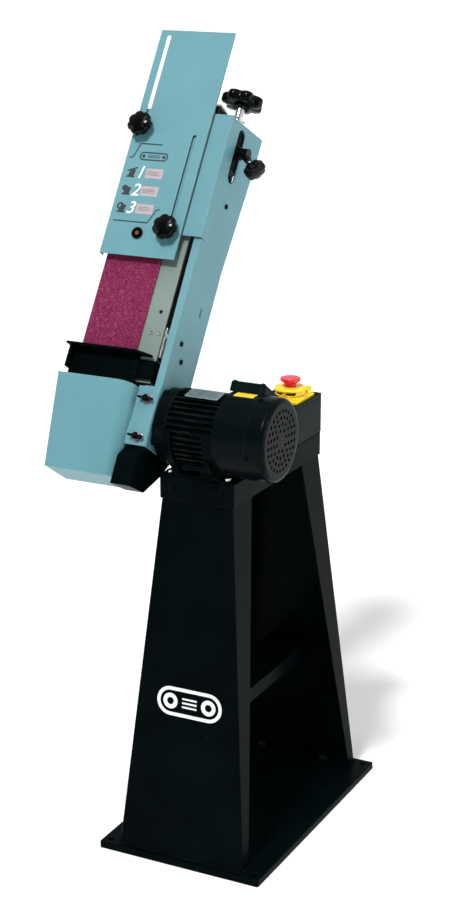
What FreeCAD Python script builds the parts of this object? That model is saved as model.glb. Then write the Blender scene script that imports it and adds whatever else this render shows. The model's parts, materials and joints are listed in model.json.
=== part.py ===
import FreeCAD
import Part
import math
import os

# Pedestal belt sander. Millimetres, +Z up, +X to the motor's fan end, -Y to the operator.
# The origin is the centre of the base plate's underside.

V = FreeCAD.Vector

# ---------------------------------------------------------------- driving dimensions

# Belt and rollers: a standard 100 x 1220 mm belt sets the head's length.
BELT_WIDTH = 100.0
BELT_LENGTH = 1220.0
BELT_THICK = 1.2
BELT_LEFT = -228.0
DRUM_R = 52.5
IDLER_R = 40.0
BELT_GAP = 0.3

# Head: it swings about the motor's axis and leans back at rest.
TILT_DEG = 33.0
PIVOT_Y = -126.0
PIVOT_Z = 708.0

# Base plate and its floor holes.
BASE_X = 290.0
BASE_Y = 470.0
BASE_T = 12.0
HOLE_SPACING_X = 262.0
HOLE_SPACING_Y = 442.0
HOLE_R = 5.0

# Leg panels: fold line from the base to the cap, and the side flange's width.
LEG_T = 3.0
LEG_FOOT_X = 112.5
LEG_FOOT_Y = 226.0
LEG_NECK_X = 62.2
LEG_NECK_Y = 161.9
NECK_Z = 600.0
LEG_TOP_Z = 634.0
FLANGE_FOOT = 24.0
FLANGE_NECK = 69.0

# Cap on the legs.
CAP_X = 65.0
CAP_Y = 164.7
CAP_TOP = 638.6
CAP_T = 2.5

# Motor, along X through the pivot.
BELL_X = -67.5
FIN_X0 = -45.0
BARREL_X = 41.0
SHIELD_X = 96.0
SHIELD_T = 8.0
COWL_END = 128.6
FIN_R = 62.0
BARREL_R = 66.3
COWL_R = 66.6
SHAFT_R = 10.0
FIT = 0.05

# Switch box on the cap.
BOX_X0 = -15.0
BOX_Y0 = 61.0
BOX_TOP = 700.0
SWITCH_X = 30.0
SWITCH_Y = 118.5

# Side channel of the head.
WEB_OUT = -67.5
SHEET = 2.5
WEB_IN = WEB_OUT - SHEET

# Sliding cover and its two studs.
COVER_X0 = -233.8
COVER_X1 = -100.0
COVER_S0 = 249.4
COVER_S1 = 648.3
COVER_N = 68.0
SLOT_LENGTH = 163.5
STUD_UPPER = (-218.5, 471.5)
STUD_LOWER = (-122.0, 297.5)
STUD_R = 3.0

# Drum guard.
GUARD_LEFT = -234.0
GUARD_RIGHT = -104.0
GUARD_TOP = 37.6
GUARD_BOTTOM = -108.0
GUARD_TOP_N = 91.0
GUARD_BOTTOM_N = 55.0
WING_UPPER_S = 21.0
WING_LOWER_S = -41.0
WING_X = -85.0

# Work stop.
STOP_TOP = 92.0
STOP_N0 = 57.0
STOP_N1 = 82.0


# ---------------------------------------------------------------- derived belt geometry

RUN_N = DRUM_R + BELT_GAP
IDLER_N = RUN_N - IDLER_R - BELT_GAP


def idler_distance():
    """Distance along the head at which the loop has the belt's length."""
    r1 = RUN_N + BELT_THICK / 2
    r2 = IDLER_R + BELT_GAP + BELT_THICK / 2
    s = BELT_LENGTH / 2 - math.pi * (r1 + r2) / 2
    for _ in range(12):
        a = math.atan2(r1 - r2, s)
        s = (BELT_LENGTH - r1 * (math.pi + 2 * a) - r2 * (math.pi - 2 * a)) / 2
    return s


IDLER_S = idler_distance()


# ---------------------------------------------------------------- helpers

def box(x0, x1, y0, y1, z0, z1):
    return Part.makeBox(x1 - x0, y1 - y0, z1 - z0, V(x0, y0, z0))


def cyl(r, p, d, h):
    return Part.makeCylinder(r, h, p, d)


def ring(r_out, r_in, p, d, h):
    return cyl(r_out, p, d, h).cut(cyl(r_in, p - d, d, h + 2))


def fuse(first, *others):
    return first.multiFuse(list(others)).removeSplitter() if others else first


def prism(points, direction):
    """Solid from a closed outline of vectors, extruded along a vector."""
    return Part.Face(Part.makePolygon(points + [points[0]])).extrude(direction)


def rounded(shape, r, keep):
    """Fillet the edges that keep(edge) picks."""
    return shape.makeFillet(r, [e for e in shape.Edges if keep(e)])


def along(edge, axis):
    """True for a straight edge that runs along the axis vector."""
    if len(edge.Vertexes) != 2:
        return False
    d = edge.Vertexes[1].Point - edge.Vertexes[0].Point
    return d.Length > 1e-6 and d.cross(axis).Length < 1e-6 * d.Length


# The head is drawn upright: x across, s up the head, n out of the belt's working face.

X = V(1, 0, 0)
S = V(0, 0, 1)
N = V(0, -1, 0)


def h(x, s, n):
    return V(x, -n, s)


def slab(x0, x1, s0, s1, n0, n1):
    return box(x0, x1, -n1, -n0, s0, s1)


def profile(points, x0, x1):
    """Outline of (s, n) points, extruded from x0 to x1."""
    return prism([h(x0, s, n) for s, n in points], V(x1 - x0, 0, 0))


def tube_x(r_out, r_in, x0, x1, s=0.0, n=0.0):
    return ring(r_out, r_in, h(x0, s, n), X, x1 - x0)


def rod_x(r, x0, x1, s=0.0, n=0.0):
    return cyl(r, h(x0, s, n), X, x1 - x0)


def on_head(shape):
    """Lean an upright head shape back and put it on the pivot."""
    out = shape.copy()
    out.rotate(V(0, 0, 0), X, -TILT_DEG)
    out.translate(V(0, PIVOT_Y, PIVOT_Z))
    return out


def hex_prism(across, p, d, height):
    r = across / math.sqrt(3)
    side = V(0, 0, 1) if abs(d.z) < 0.9 else V(1, 0, 0)
    u = d.cross(side).normalize()
    w = d.cross(u).normalize()
    pts = [p + u * (r * math.cos(k * math.pi / 3)) + w * (r * math.sin(k * math.pi / 3)) for k in range(6)]
    return prism(pts, d * height)


def hex_bolt(p, d, shank_r, length, across, head):
    """Hex bolt: its head stands on p, along d, and its shank goes the other way."""
    body = fuse(hex_prism(across, p, d, head), cyl(shank_r, p - d * length, d, length + head / 2))
    return body


def round_screw(p, d, shank_r, length, head_r, head):
    """Round-head screw with a hex socket: head along d from p, shank the other way."""
    dome = cyl(head_r, p, d, head)
    dome = dome.cut(hex_prism(head_r * 0.9, p + d * (head * 0.45), d, head))
    return fuse(dome, cyl(shank_r, p - d * length, d, length + head * 0.3))


def lobed(r, lobes, lobe_r, p, d, height):
    """Lobed knob disc: scallops cut into a cylinder."""
    side = V(0, 0, 1) if abs(d.z) < 0.9 else V(1, 0, 0)
    u = d.cross(side).normalize()
    w = d.cross(u).normalize()
    body = cyl(r, p, d, height)
    body = body.makeFillet(height * 0.22, [e for e in body.Edges if len(e.Vertexes) == 1])
    cuts = []
    for k in range(lobes):
        a = 2 * math.pi * k / lobes
        c = p + u * ((r + lobe_r * 0.62) * math.cos(a)) + w * ((r + lobe_r * 0.62) * math.sin(a))
        cuts.append(cyl(lobe_r, c - d, d, height + 2))
    return body.cut(cuts[0].multiFuse(cuts[1:]))


def group(*solids):
    return Part.makeCompound(list(solids))


# ---------------------------------------------------------------- stand

def base_plate():
    plate = box(-BASE_X / 2, BASE_X / 2, -BASE_Y / 2, BASE_Y / 2, 0, BASE_T)
    plate = rounded(plate, 3, lambda e: along(e, V(0, 0, 1)))
    for x in (-HOLE_SPACING_X / 2, HOLE_SPACING_X / 2):
        for y in (-HOLE_SPACING_Y / 2, HOLE_SPACING_Y / 2):
            plate = plate.cut(cyl(HOLE_R, V(x, y, -1), V(0, 0, 1), BASE_T + 2))
    for x, y in foot_bolt_places():
        plate = plate.cut(cyl(4.2, V(x, y, -1), V(0, 0, 1), BASE_T + 2))
    return plate


def foot_bolt_places():
    return [(x, y) for x in (-60, 60) for y in (-208, 208)]


def leg_line(z, top, foot):
    """Value at height z of a leg dimension that runs from the foot to the neck."""
    return foot + (top - foot) * (z - BASE_T) / (NECK_Z - BASE_T)


def leg_panel(turned):
    x_top = leg_line(LEG_TOP_Z, LEG_NECK_X, LEG_FOOT_X)
    y_top = leg_line(LEG_TOP_Z, LEG_NECK_Y, LEG_FOOT_Y)
    w_top = leg_line(LEG_TOP_Z, FLANGE_NECK, FLANGE_FOOT)
    face = [V(-LEG_FOOT_X, -LEG_FOOT_Y, BASE_T), V(LEG_FOOT_X, -LEG_FOOT_Y, BASE_T),
            V(x_top, -y_top, LEG_TOP_Z), V(-x_top, -y_top, LEG_TOP_Z)]
    panel = prism(face, V(0, LEG_T, 0))
    for side in (-1, 1):
        edge = [V(side * LEG_FOOT_X, -LEG_FOOT_Y, BASE_T),
                V(side * LEG_FOOT_X, -LEG_FOOT_Y + FLANGE_FOOT, BASE_T),
                V(side * x_top, -y_top + w_top, LEG_TOP_Z),
                V(side * x_top, -y_top, LEG_TOP_Z)]
        panel = panel.fuse(prism(edge, V(-side * LEG_T, 0, 0)))
    foot = box(-95, 95, -LEG_FOOT_Y + 1, -LEG_FOOT_Y + 34, BASE_T, BASE_T + LEG_T)
    panel = panel.fuse(foot).removeSplitter()
    bend = [e for e in panel.Edges if e.BoundBox.ZMax > LEG_TOP_Z - 1 and e.BoundBox.ZMin < BASE_T + 1
            and e.BoundBox.YMin < -LEG_FOOT_Y + 0.1]
    panel = panel.makeFillet(4, bend)
    for x, y in foot_bolt_places():
        if y < 0:
            panel = panel.cut(cyl(4.2, V(x, y, 0), V(0, 0, 1), 30))
    for x in CAP_SCREW_X:
        panel = panel.cut(cyl(2.8, V(x, -CAP_Y - 5, CAP_SCREW_Z), V(0, 1, 0), 20))
    if turned:
        panel.rotate(V(0, 0, 0), V(0, 0, 1), 180)
    return panel


CAP_SCREW_X = (-42.0, 42.0)
CAP_SCREW_Z = 619.0


def cross_brace():
    """Upturned U-channel between the two leg panels, open underneath."""
    low = 221.5
    high = 245.8
    y_low = leg_line(low, LEG_NECK_Y, LEG_FOOT_Y) - LEG_T
    y_high = leg_line(high, LEG_NECK_Y, LEG_FOOT_Y) - LEG_T
    ends = [V(-38, -y_low, low), V(-38, y_low, low), V(-38, y_high, high), V(-38, -y_high, high)]
    return prism(ends, V(76, 0, 0)).cut(box(-35.5, 35.5, -230, 230, low - 1, high - 2.5))


def stand_cap():
    cap = box(-CAP_X, CAP_X, -CAP_Y, CAP_Y, NECK_Z, CAP_TOP)
    cap = rounded(cap, 5, lambda e: along(e, V(0, 0, 1)))
    cap = rounded(cap, 2, lambda e: e.BoundBox.ZMin > CAP_TOP - 0.1)
    inner = box(-CAP_X + CAP_T, CAP_X - CAP_T, -CAP_Y + CAP_T, CAP_Y - CAP_T, NECK_Z - 1, CAP_TOP - CAP_T)
    cap = cap.cut(inner)
    for x, y in saddle_bolt_places() + box_screw_places():
        cap = cap.cut(cyl(3.2, V(x, y, NECK_Z), V(0, 0, 1), 60))
    for x in CAP_SCREW_X:
        cap = cap.cut(cyl(2.8, V(x, -CAP_Y - 5, CAP_SCREW_Z), V(0, 1, 0), 2 * CAP_Y + 10))
    return cap.cut(cyl(10, V(20, 110, NECK_Z), V(0, 0, 1), 60))


def saddle_bolt_places():
    return [(x, PIVOT_Y + y) for x in (-50, 50) for y in (-28, 28)]


def box_screw_places():
    return [(x, y) for x in (-5, 55) for y in (72, 153)]


def stand_bolts():
    """M8 bolts through the legs' feet and M6 size bolts that hold the cradle."""
    up = V(0, 0, 1)
    feet = [hex_bolt(V(x, y, BASE_T + LEG_T), up, 4, BASE_T, 13, 5.3) for x, y in foot_bolt_places()]
    cradle = [hex_bolt(V(x, y, SADDLE_TOP), up, 3, 6.6, 10, 4) for x, y in saddle_bolt_places()]
    return group(*(feet + cradle))


def stand_screws():
    out = []
    for x in CAP_SCREW_X:
        out.append(round_screw(V(x, -CAP_Y, CAP_SCREW_Z), V(0, -1, 0), 2.6, 12, 5, 2.8))
        out.append(round_screw(V(x, CAP_Y, CAP_SCREW_Z), V(0, 1, 0), 2.6, 12, 5, 2.8))
    for x, y in lid_screw_places():
        out.append(round_screw(V(x, y, LID_FLOOR), V(0, 0, 1), 1.6, 8, 3.2, 1.6))
    return group(*out)


SADDLE_TOP = CAP_TOP + 2.6
CRADLE_X = ((-44.0, -30.0), (24.0, 40.0))
CLAMP_DEG = 45.0
CRADLE_WRAP = 10.0


def clamp_frame():
    """Unit vectors at the clamp: out from the motor, and along the bolt to the front."""
    a = math.radians(CLAMP_DEG)
    return V(0, -math.cos(a), -math.sin(a)), V(0, -math.sin(a), math.cos(a))


def cradle():
    """Two cradles that hold the motor's fins, with a split clamp in the right one."""
    axis_z = PIVOT_Z - CAP_TOP
    plate = box(-58, 58, PIVOT_Y - 36, PIVOT_Y + 36, CAP_TOP, SADDLE_TOP)
    body = rounded(plate, 4, lambda e: along(e, V(0, 0, 1)))
    bore = FIN_R + 0.3
    r = bore + 4
    lift = r * math.sin(math.radians(CRADLE_WRAP))
    for x0, x1 in CRADLE_X:
        band = cyl(r, V(x0, PIVOT_Y, PIVOT_Z), X, x1 - x0)
        band = band.common(box(x0, x1, PIVOT_Y - r - 1, PIVOT_Y + r + 1, CAP_TOP, PIVOT_Z + lift))
        block = box(x0, x1, PIVOT_Y - 36, PIVOT_Y + 36, CAP_TOP, CAP_TOP + axis_z * 0.35)
        body = body.fuse(band).fuse(block)
    out, along_bolt = clamp_frame()
    x0, x1 = CRADLE_X[1]
    foot = V(x0, PIVOT_Y, PIVOT_Z) + out * (r - 2)
    for side in (-1, 1):
        lug0 = foot + along_bolt * (side * 1.5)
        reach = out * 17
        thick = along_bolt * (side * 4)
        lug = [lug0, lug0 + reach, lug0 + reach + thick, lug0 + thick]
        body = body.fuse(prism(lug, V(x1 - x0, 0, 0)))
    gap0 = V(x0 - 1, PIVOT_Y, PIVOT_Z) + out * (bore - 2) - along_bolt * 1.5
    gap = [gap0, gap0 + out * 24, gap0 + out * 24 + along_bolt * 3, gap0 + along_bolt * 3]
    body = body.cut(prism(gap, V(x1 - x0 + 2, 0, 0)))
    body = body.cut(cyl(bore, V(-70, PIVOT_Y, PIVOT_Z), X, 140))
    body = body.cut(cyl(BARREL_R + 0.4, V(x1 + 0.01, PIVOT_Y, PIVOT_Z), X, 40))
    hole = clamp_centre()
    body = body.cut(cyl(4.05, hole - along_bolt * 20, along_bolt, 40))
    for x, y in saddle_bolt_places():
        body = body.cut(cyl(3.2, V(x, y, CAP_TOP - 1), V(0, 0, 1), 8))
    return sorted(body.removeSplitter().Solids, key=lambda solid: solid.Volume)


def pivot_saddle():
    return cradle()[-1]


def clamp_jaw():
    """Front jaw of the split clamp, pulled in by the clamp bolt."""
    return cradle()[0]


def clamp_centre():
    out, _ = clamp_frame()
    x0, x1 = CRADLE_X[1]
    return V((x0 + x1) / 2, PIVOT_Y, PIVOT_Z) + out * (FIN_R + 12.7)


def tilt_lock_lever():
    """Clamp bolt with a bright boss and a short lever that points left."""
    _, d = clamp_frame()
    c = clamp_centre()
    face = c + d * 5.8
    bolt = cyl(4, c - d * 9, d, 20)
    nut = hex_prism(12, c - d * 12.2, d, 6.4)
    boss = cyl(7, face, d, 15)
    boss = boss.makeFillet(1.2, [e for e in boss.Edges if len(e.Vertexes) == 1])
    arm = cyl(3.6, face + d * 9.5, X * -1, 30)
    grip = cyl(5.5, face + d * 9.5 - X * 28, X * -1, 12)
    grip = grip.makeFillet(2.2, [e for e in grip.Edges if len(e.Vertexes) == 1])
    return fuse(bolt, nut, boss, arm, grip)


# ---------------------------------------------------------------- switch

LID_FLOOR = BOX_TOP + 2.5
RIM_TOP = BOX_TOP + 5.5


def lid_screw_places():
    return [(x, y) for x in (BOX_X0 + 8, CAP_X - 6) for y in (BOX_Y0 + 8, CAP_Y - 8)]


def switch_box():
    body = box(BOX_X0, CAP_X, BOX_Y0, CAP_Y, CAP_TOP, BOX_TOP)
    body = rounded(body, 2.5, lambda e: along(e, V(0, 0, 1)))
    body = body.cut(box(BOX_X0 + 2.5, CAP_X - 2.5, BOX_Y0 + 2.5, CAP_Y - 2.5, CAP_TOP + 3, BOX_TOP + 1))
    for x, y in lid_screw_places():
        post = box(x - 4, x + 4, y - 4, y + 4, CAP_TOP + 2, BOX_TOP)
        body = body.fuse(post.common(box(BOX_X0 + 1, CAP_X - 1, BOX_Y0 + 1, CAP_Y - 1, 0, 900)))
        body = body.cut(cyl(1.6, V(x, y, BOX_TOP - 12), V(0, 0, 1), 14))
    for x, y in box_screw_places():
        body = body.cut(cyl(3.2, V(x, y, CAP_TOP - 1), V(0, 0, 1), 6))
    body = body.cut(cyl(8, V(20, CAP_Y - 6, 662), V(0, 1, 0), 12))
    return body.cut(cyl(10, V(20, 110, CAP_TOP - 1), V(0, 0, 1), 6)).removeSplitter()


def switch_box_lid():
    lid = box(BOX_X0, CAP_X, BOX_Y0, CAP_Y, BOX_TOP, RIM_TOP)
    lid = rounded(lid, 2.5, lambda e: along(e, V(0, 0, 1)))
    lid = lid.cut(box(BOX_X0 + 2.5, CAP_X - 2.5, BOX_Y0 + 2.5, CAP_Y - 2.5, LID_FLOOR, RIM_TOP + 1))
    lid = lid.cut(box(SWITCH_X - 23, SWITCH_X + 23, SWITCH_Y - 30, SWITCH_Y + 30, BOX_TOP - 1, RIM_TOP))
    for x, y in lid_screw_places():
        lid = lid.cut(cyl(1.8, V(x, y, BOX_TOP - 1), V(0, 0, 1), 9))
    return lid


def power_gland():
    """Cable gland in the back of the switch box, with its clamp nut and bore."""
    out = V(0, 1, 0)
    at = V(20, CAP_Y, 662)
    body = fuse(cyl(7.8, at - out * 8, out, 10), hex_prism(20, at, out, 5), cyl(8.5, at + out * 5, out, 10))
    nut = hex_prism(19, at - out * 7.5, out, 5)
    return fuse(body, nut).cut(cyl(4, at - out * 12, out, 30))


BASE_LIP = LID_FLOOR + 5.0
SWITCH_TOP = LID_FLOOR + 9.0
BUTTON_X = 11.0


def switch_base():
    """Yellow switch housing: lip on the lid, raised bezel and the contact block below."""
    lip = box(SWITCH_X - 28, SWITCH_X + 28, SWITCH_Y - 35.5, SWITCH_Y + 35.5, LID_FLOOR, BASE_LIP)
    lip = rounded(lip, 5, lambda e: along(e, V(0, 0, 1)))
    bezel = box(SWITCH_X - 25, SWITCH_X + 25, SWITCH_Y - 32, SWITCH_Y + 32, BASE_LIP - 1, SWITCH_TOP)
    bezel = rounded(bezel, 6, lambda e: along(e, V(0, 0, 1)))
    block = box(SWITCH_X - 22, SWITCH_X + 22, SWITCH_Y - 28, SWITCH_Y + 28, LID_FLOOR - 38, LID_FLOOR + 1)
    ears = []
    for side in (-1, 1):
        x0 = SWITCH_X + side * 20 - 3
        ear = box(x0, x0 + 6, FLAP_Y - 5, FLAP_Y + 3, SWITCH_TOP - 2, FLAP_Z + 4)
        ears.append(ear.cut(cyl(2.05, V(x0 - 1, FLAP_Y, FLAP_Z), X, 8)))
    body = fuse(lip, bezel, block, *ears)
    for side in (-1, 1):
        well = cyl(9.3, V(SWITCH_X + side * BUTTON_X, SWITCH_Y, SWITCH_TOP - 9), V(0, 0, 1), 20)
        body = body.cut(well)
    return body


FLAP_Y = SWITCH_Y + 27.0
FLAP_Z = SWITCH_TOP + 5.0
FLAP_R = 27.0


def stop_flap():
    """Round dished flap with two front windows, on a pin at its back."""
    low = SWITCH_TOP + 1.0
    top = SWITCH_TOP + 13.0
    c = V(SWITCH_X, SWITCH_Y - 3, low)
    up = V(0, 0, 1)
    skirt = cyl(FLAP_R - 2, c, up, top - low)
    brim = cyl(FLAP_R, c + up * 7, up, 3)
    body = fuse(skirt, brim)
    body = body.cut(cyl(FLAP_R - 4, c - up, up, top - low - 2))
    for side in (-1, 1):
        window = box(SWITCH_X + side * 10.5 - 7, SWITCH_X + side * 10.5 + 7, SWITCH_Y - 40, SWITCH_Y - 12,
                     low + 1.5, low + 6.5)
        body = body.cut(window)
    socket = cyl(9.2, c + up * (top - low - 5), up, 10)
    body = body.cut(socket)
    hinge = box(SWITCH_X - 15.5, SWITCH_X + 15.5, SWITCH_Y + 17, FLAP_Y, FLAP_Z - 2.5, FLAP_Z + 2.5)
    barrel = cyl(3.4, V(SWITCH_X - 15.5, FLAP_Y, FLAP_Z), X, 31)
    pin = cyl(2.0, V(SWITCH_X - 22.5, FLAP_Y, FLAP_Z), X, 45)
    hollow = cyl(FLAP_R - 4, c - up, up, top - low - 2)
    return fuse(body, hinge.cut(hollow), barrel, pin)


def stop_mushroom():
    c = V(SWITCH_X, SWITCH_Y - 3, SWITCH_TOP + 11)
    up = V(0, 0, 1)
    neck = cyl(9.1, c, up, 7)
    flare = Part.makeCone(9.1, 17, 5, c + up * 7, up)
    head = cyl(17, c + up * 12, up, 5)
    body = fuse(neck, flare, head)
    return rounded(body, 2.2, lambda e: e.BoundBox.ZMin > c.z + 16.9)


def push_button(side):
    c = V(SWITCH_X + side * BUTTON_X, SWITCH_Y, SWITCH_TOP - 7)
    cap = box(c.x - 9, c.x + 9, c.y - 9, c.y + 9, c.z, c.z + 6.8)
    return cap.common(cyl(9.0, c, V(0, 0, 1), 8))


# ---------------------------------------------------------------- head frame

CHANNEL = [(-54, 55), (117, 55), (505, 60.8), (519.5, -58), (484, -58), (275, -40), (-54, -40)]
TRACK_SLOT = (409.0, 502.0)
SLOT_N = 14.0
SLOT_HALF = 12.0
HEAD_TOP = 506.0


def side_channel():
    """Folded side frame: web, narrow front and back flanges and a top flange."""
    web = profile(CHANNEL, WEB_IN, WEB_OUT)
    lip = [(-54, 55), (117, 55), (505, 60.8), (505, 58.3), (117, 52.5), (-54, 52.5)]
    front = profile(lip, -80, WEB_OUT)
    back = profile([(-40, -40), (275, -40), (484, -58), (519, -58), (519, -55.5), (484, -55.5),
                    (275, -37.5), (-40, -37.5)], -88, WEB_OUT)
    top = profile([(505, 60.8), (519.5, -58), (517, -58), (502.5, 60.8)], -103, WEB_OUT)
    body = fuse(web, front, back, top)
    body = body.cut(rod_x(15, -90, -60))
    lo = TRACK_SLOT[0] + SLOT_HALF
    hi = TRACK_SLOT[1] - SLOT_HALF
    slot = fuse(rod_x(SLOT_HALF, -90, -60, lo, SLOT_N), rod_x(SLOT_HALF, -90, -60, hi, SLOT_N),
                slab(-90, -60, lo, hi, SLOT_N - SLOT_HALF, SLOT_N + SLOT_HALF))
    body = body.cut(slot)
    body = body.cut(rod_x(3.4, -90, -60, 186, -6)).cut(slab(-90, -60, 186, 200, -7.2, -4.2))
    body = body.fuse(slab(-96, -75, -54, 44, 55 - SHEET, 55))
    for s in (WING_UPPER_S, WING_LOWER_S):
        body = body.cut(cyl(3.0, h(WING_X, s, 40), N, 20))
    for s, n in bracket_screw_places():
        body = body.cut(rod_x(2.7, -90, -60, s, n))
    for s, n in housing_bolt_places():
        body = body.cut(rod_x(3.2, -90, -60, s, n))
    return body.cut(cyl(6.5, h(ROD_X, 480, IDLER_N), S, 60)).removeSplitter()


def bracket_screw_places():
    return [(125.0, 30.0), (371.5, 5.0), (99.6, 16.0)]


HOOD_BACK = 61.2
HOOD_FRONT = 63.2
HOOD_S0 = 294.0


def upper_hood():
    """Fixed hood: front sheet, right return flange, top sheet and a back lip."""
    front = slab(-233, -65.3, HOOD_S0, 506, HOOD_BACK, HOOD_FRONT)
    tongue = slab(-138, -106, HOOD_S0 - 10, HOOD_S0 + 1, HOOD_BACK, HOOD_FRONT)
    side = slab(-67.3, -65.3, HOOD_S0, 502, 47, HOOD_FRONT)
    top = profile([(506, 61.2), (519, -58), (521.5, -58), (508.5, 61.2), (506, 63.2)], -233, -104)
    lip = slab(-233, -104, 430, 521, -60.2, -58)
    body = fuse(front, tongue, side, top, lip)
    left = profile([(HEAD_TOP, HOOD_FRONT), (519.5, -60), (500, -60), (488, 50), (HOOD_S0, 50),
                    (HOOD_S0, HOOD_FRONT)], -233, -231)
    body = fuse(body, left)
    for x, s in (STUD_UPPER, STUD_LOWER):
        body = body.cut(cyl(STUD_R + 0.05, h(x, s, 50), N, 30))
    return body


def cover_studs():
    """Threaded studs in the hood, with the spacer washers the cover slides on."""
    out = []
    for x, s in (STUD_UPPER, STUD_LOWER):
        stud = cyl(STUD_R, h(x, s, 57.5), N, 27)
        nut = hex_prism(10, h(x, s, HOOD_BACK - 4), N, 4)
        spacer = cyl(7, h(x, s, HOOD_FRONT), N, COVER_N - 1.8 - HOOD_FRONT)
        out.append(fuse(stud, nut, spacer))
    return group(*out)


ROD_X = -84.0
PLATE_UNDER = 520.0
PLATE_T = 3.0
HOOD_TOP_S = 508.5
HOOD_TOP_FALL = 13.0 / 119.2


def hood_top(n):
    """Height of the hood's top sheet at n."""
    return HOOD_TOP_S + (HOOD_BACK - n) * HOOD_TOP_FALL


def tension_plate():
    """Zinc plate square to the tension rod, on a wedge block that stands on the hood."""
    top = PLATE_UNDER + PLATE_T
    plate = slab(-128, -93, PLATE_UNDER, top, -16, 63)
    tab = slab(-94, -75, PLATE_UNDER, top, 2, 23)
    collar = cyl(9, h(ROD_X, 512.2, IDLER_N), S, PLATE_UNDER - 511)
    hole = cyl(5.3, h(ROD_X, 480, IDLER_N), S, 60)
    side = [(hood_top(-10), -10), (hood_top(46), 46), (PLATE_UNDER, 46), (PLATE_UNDER, -10)]
    wedge = profile(side, -125, -105)
    return group(fuse(plate, tab, collar).cut(hole), wedge)


def platen():
    """Steel pressure plate behind the belt, with a folded lug for the work stop."""
    face = slab(-226, -91, 48, 400, 48.3, 51.8)
    face = rounded(face, 1.5, lambda e: along(e, X) and e.BoundBox.YMin < -51.7)
    lug = slab(-94, -91, 48, 88, 14, 50)
    body = fuse(face, lug)
    for s in PLATEN_SCREW_S:
        for x in PLATEN_SCREW_X:
            body = body.cut(cyl(2.6, h(x, s, 40), N, 20))
    body = body.cut(cyl(3.2, h(-106, 167, 40), N, 20))
    return body.cut(rod_x(2.6, -100, -80, STOP_SCREW_S, STOP_SCREW_N))


PLATEN_SCREW_S = (131.0, 340.0)
PLATEN_SCREW_X = (-113.5, -99.6)
STOP_SCREW_S = 67.0
STOP_SCREW_N = 30.0
STOP_SCREWS = (59.0, 77.0)


def platen_brackets():
    """Two folded brackets from the platen's back to the channel's web."""
    out = []
    for s0, s1 in ((93.0, 143.0), (328.0, 382.0)):
        foot = slab(-120, -88, s0, s1, 44.8, 48.3)
        wall = slab(-91, -88, s0, s1, -4, 48.3)
        back = slab(-91, WEB_IN, s0, s1, -4, -1)
        flange = slab(WEB_IN - 2.5, WEB_IN, s0, s1, -4, 44)
        body = fuse(foot, wall, back, flange)
        for s, n in bracket_screw_places():
            body = body.cut(rod_x(2.7, -80, -60, s, n))
        for s in PLATEN_SCREW_S:
            for x in PLATEN_SCREW_X:
                body = body.cut(cyl(2.6, h(x, s, 40), N, 20))
        out.append(body)
    return group(*out)


def sanding_belt():
    """Closed loop round the drum and the idler, clear of both by the belt gap."""
    def loop(extra):
        r1 = RUN_N + extra
        r2 = IDLER_R + BELT_GAP + extra
        a = math.atan2(RUN_N - IDLER_R - BELT_GAP, IDLER_S)
        back = (math.sin(2 * a), -math.cos(2 * a))
        line = (math.cos(a), math.sin(a))

        def at(s, n):
            return h(BELT_LEFT, s, n)
        f0 = at(0, r1)
        f1 = at(IDLER_S, r1)
        b1 = at(IDLER_S + r2 * back[0], IDLER_N + r2 * back[1])
        b0 = at(r1 * back[0], r1 * back[1])
        top = Part.Arc(f1, at(IDLER_S + r2 * line[0], IDLER_N + r2 * line[1]), b1)
        low = Part.Arc(b0, at(-r1 * line[0], -r1 * line[1]), f0)
        wire = Part.Wire([Part.LineSegment(f0, f1).toShape(), top.toShape(),
                          Part.LineSegment(b1, b0).toShape(), low.toShape()])
        return Part.Face(wire).extrude(V(BELT_WIDTH, 0, 0))
    return loop(BELT_THICK).cut(loop(0))


HOUSING = [(-54.3, 54.7), (-77, 73), (-123, 72), (-119, 21), (-81, -19), (-54.3, -39.7)]
HOUSING_X0 = -102.0


def drive_housing():
    """Black box below the channel that shrouds the drum's inner side."""
    outline = [(50, 40), (-54.3, 52.2)] + HOUSING[1:-1] + [(-54.3, -37), (50, -36)]
    body = profile(outline, HOUSING_X0, WEB_IN)
    lower = profile([(-54.3, 52)] + HOUSING[1:-1] + [(-54.3, -39)], WEB_IN - 0.5, WEB_OUT - 0.5)
    body = body.fuse(lower)
    inner = [(60, 34), (-58, 46), (-79, 70.5), (-120.5, 69.6), (-116.8, 22), (-80, -16.5),
             (-58, -33), (60, -33)]
    body = body.cut(profile(inner, HOUSING_X0 - 1, WEB_IN - 3))
    body = body.cut(rod_x(58, HOUSING_X0 - 1, WEB_IN - 3))
    body = body.cut(rod_x(15, -110, -60))
    body = body.cut(slab(-110, -60, 0, 60, 30, 60))
    for s, n in housing_bolt_places():
        body = body.cut(rod_x(3.2, -110, -60, s, n))
    return body.removeSplitter()


def housing_bolt_places():
    return [(42.0, 0.0), (-34.0, -26.0), (-34.0, 26.0)]


def head_screws():
    """Round-head screws of the head: platen, brackets, motor flange, cowl, terminal lid and stop."""
    out = []
    for s in PLATEN_SCREW_S:
        for x in PLATEN_SCREW_X:
            out.append(round_screw(h(x, s, 51.8), N, 2.5, 5, 4.0, 0.9))
    for s, n in bracket_screw_places():
        out.append(round_screw(h(WEB_OUT, s, n), X, 2.6, 6, 4.2, 1.8))
    for s, n in housing_bolt_places():
        out.append(hex_bolt(h(WEB_IN - 3, s, n), X * -1, 3, 10, 10, 4))
    for k in range(4):
        a = math.radians(45 + 90 * k)
        d = h(0, math.cos(a), math.sin(a))
        out.append(round_screw(h(SHIELD_X + 4, 0, 0) + d * COWL_R, d, 2, 6, 3.8, 1.6))
    for x, n in terminal_screw_places():
        out.append(round_screw(h(x, TERM_S + TERM_LID, n), S, 2, 8, 3.6, 1.6))
    stud = round_screw(h(-87.6, STOP_SCREW_S, STOP_SCREW_N), X, 2.5, 10, 6, 3.0)
    out.append(stud)
    return group(*out)


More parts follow.
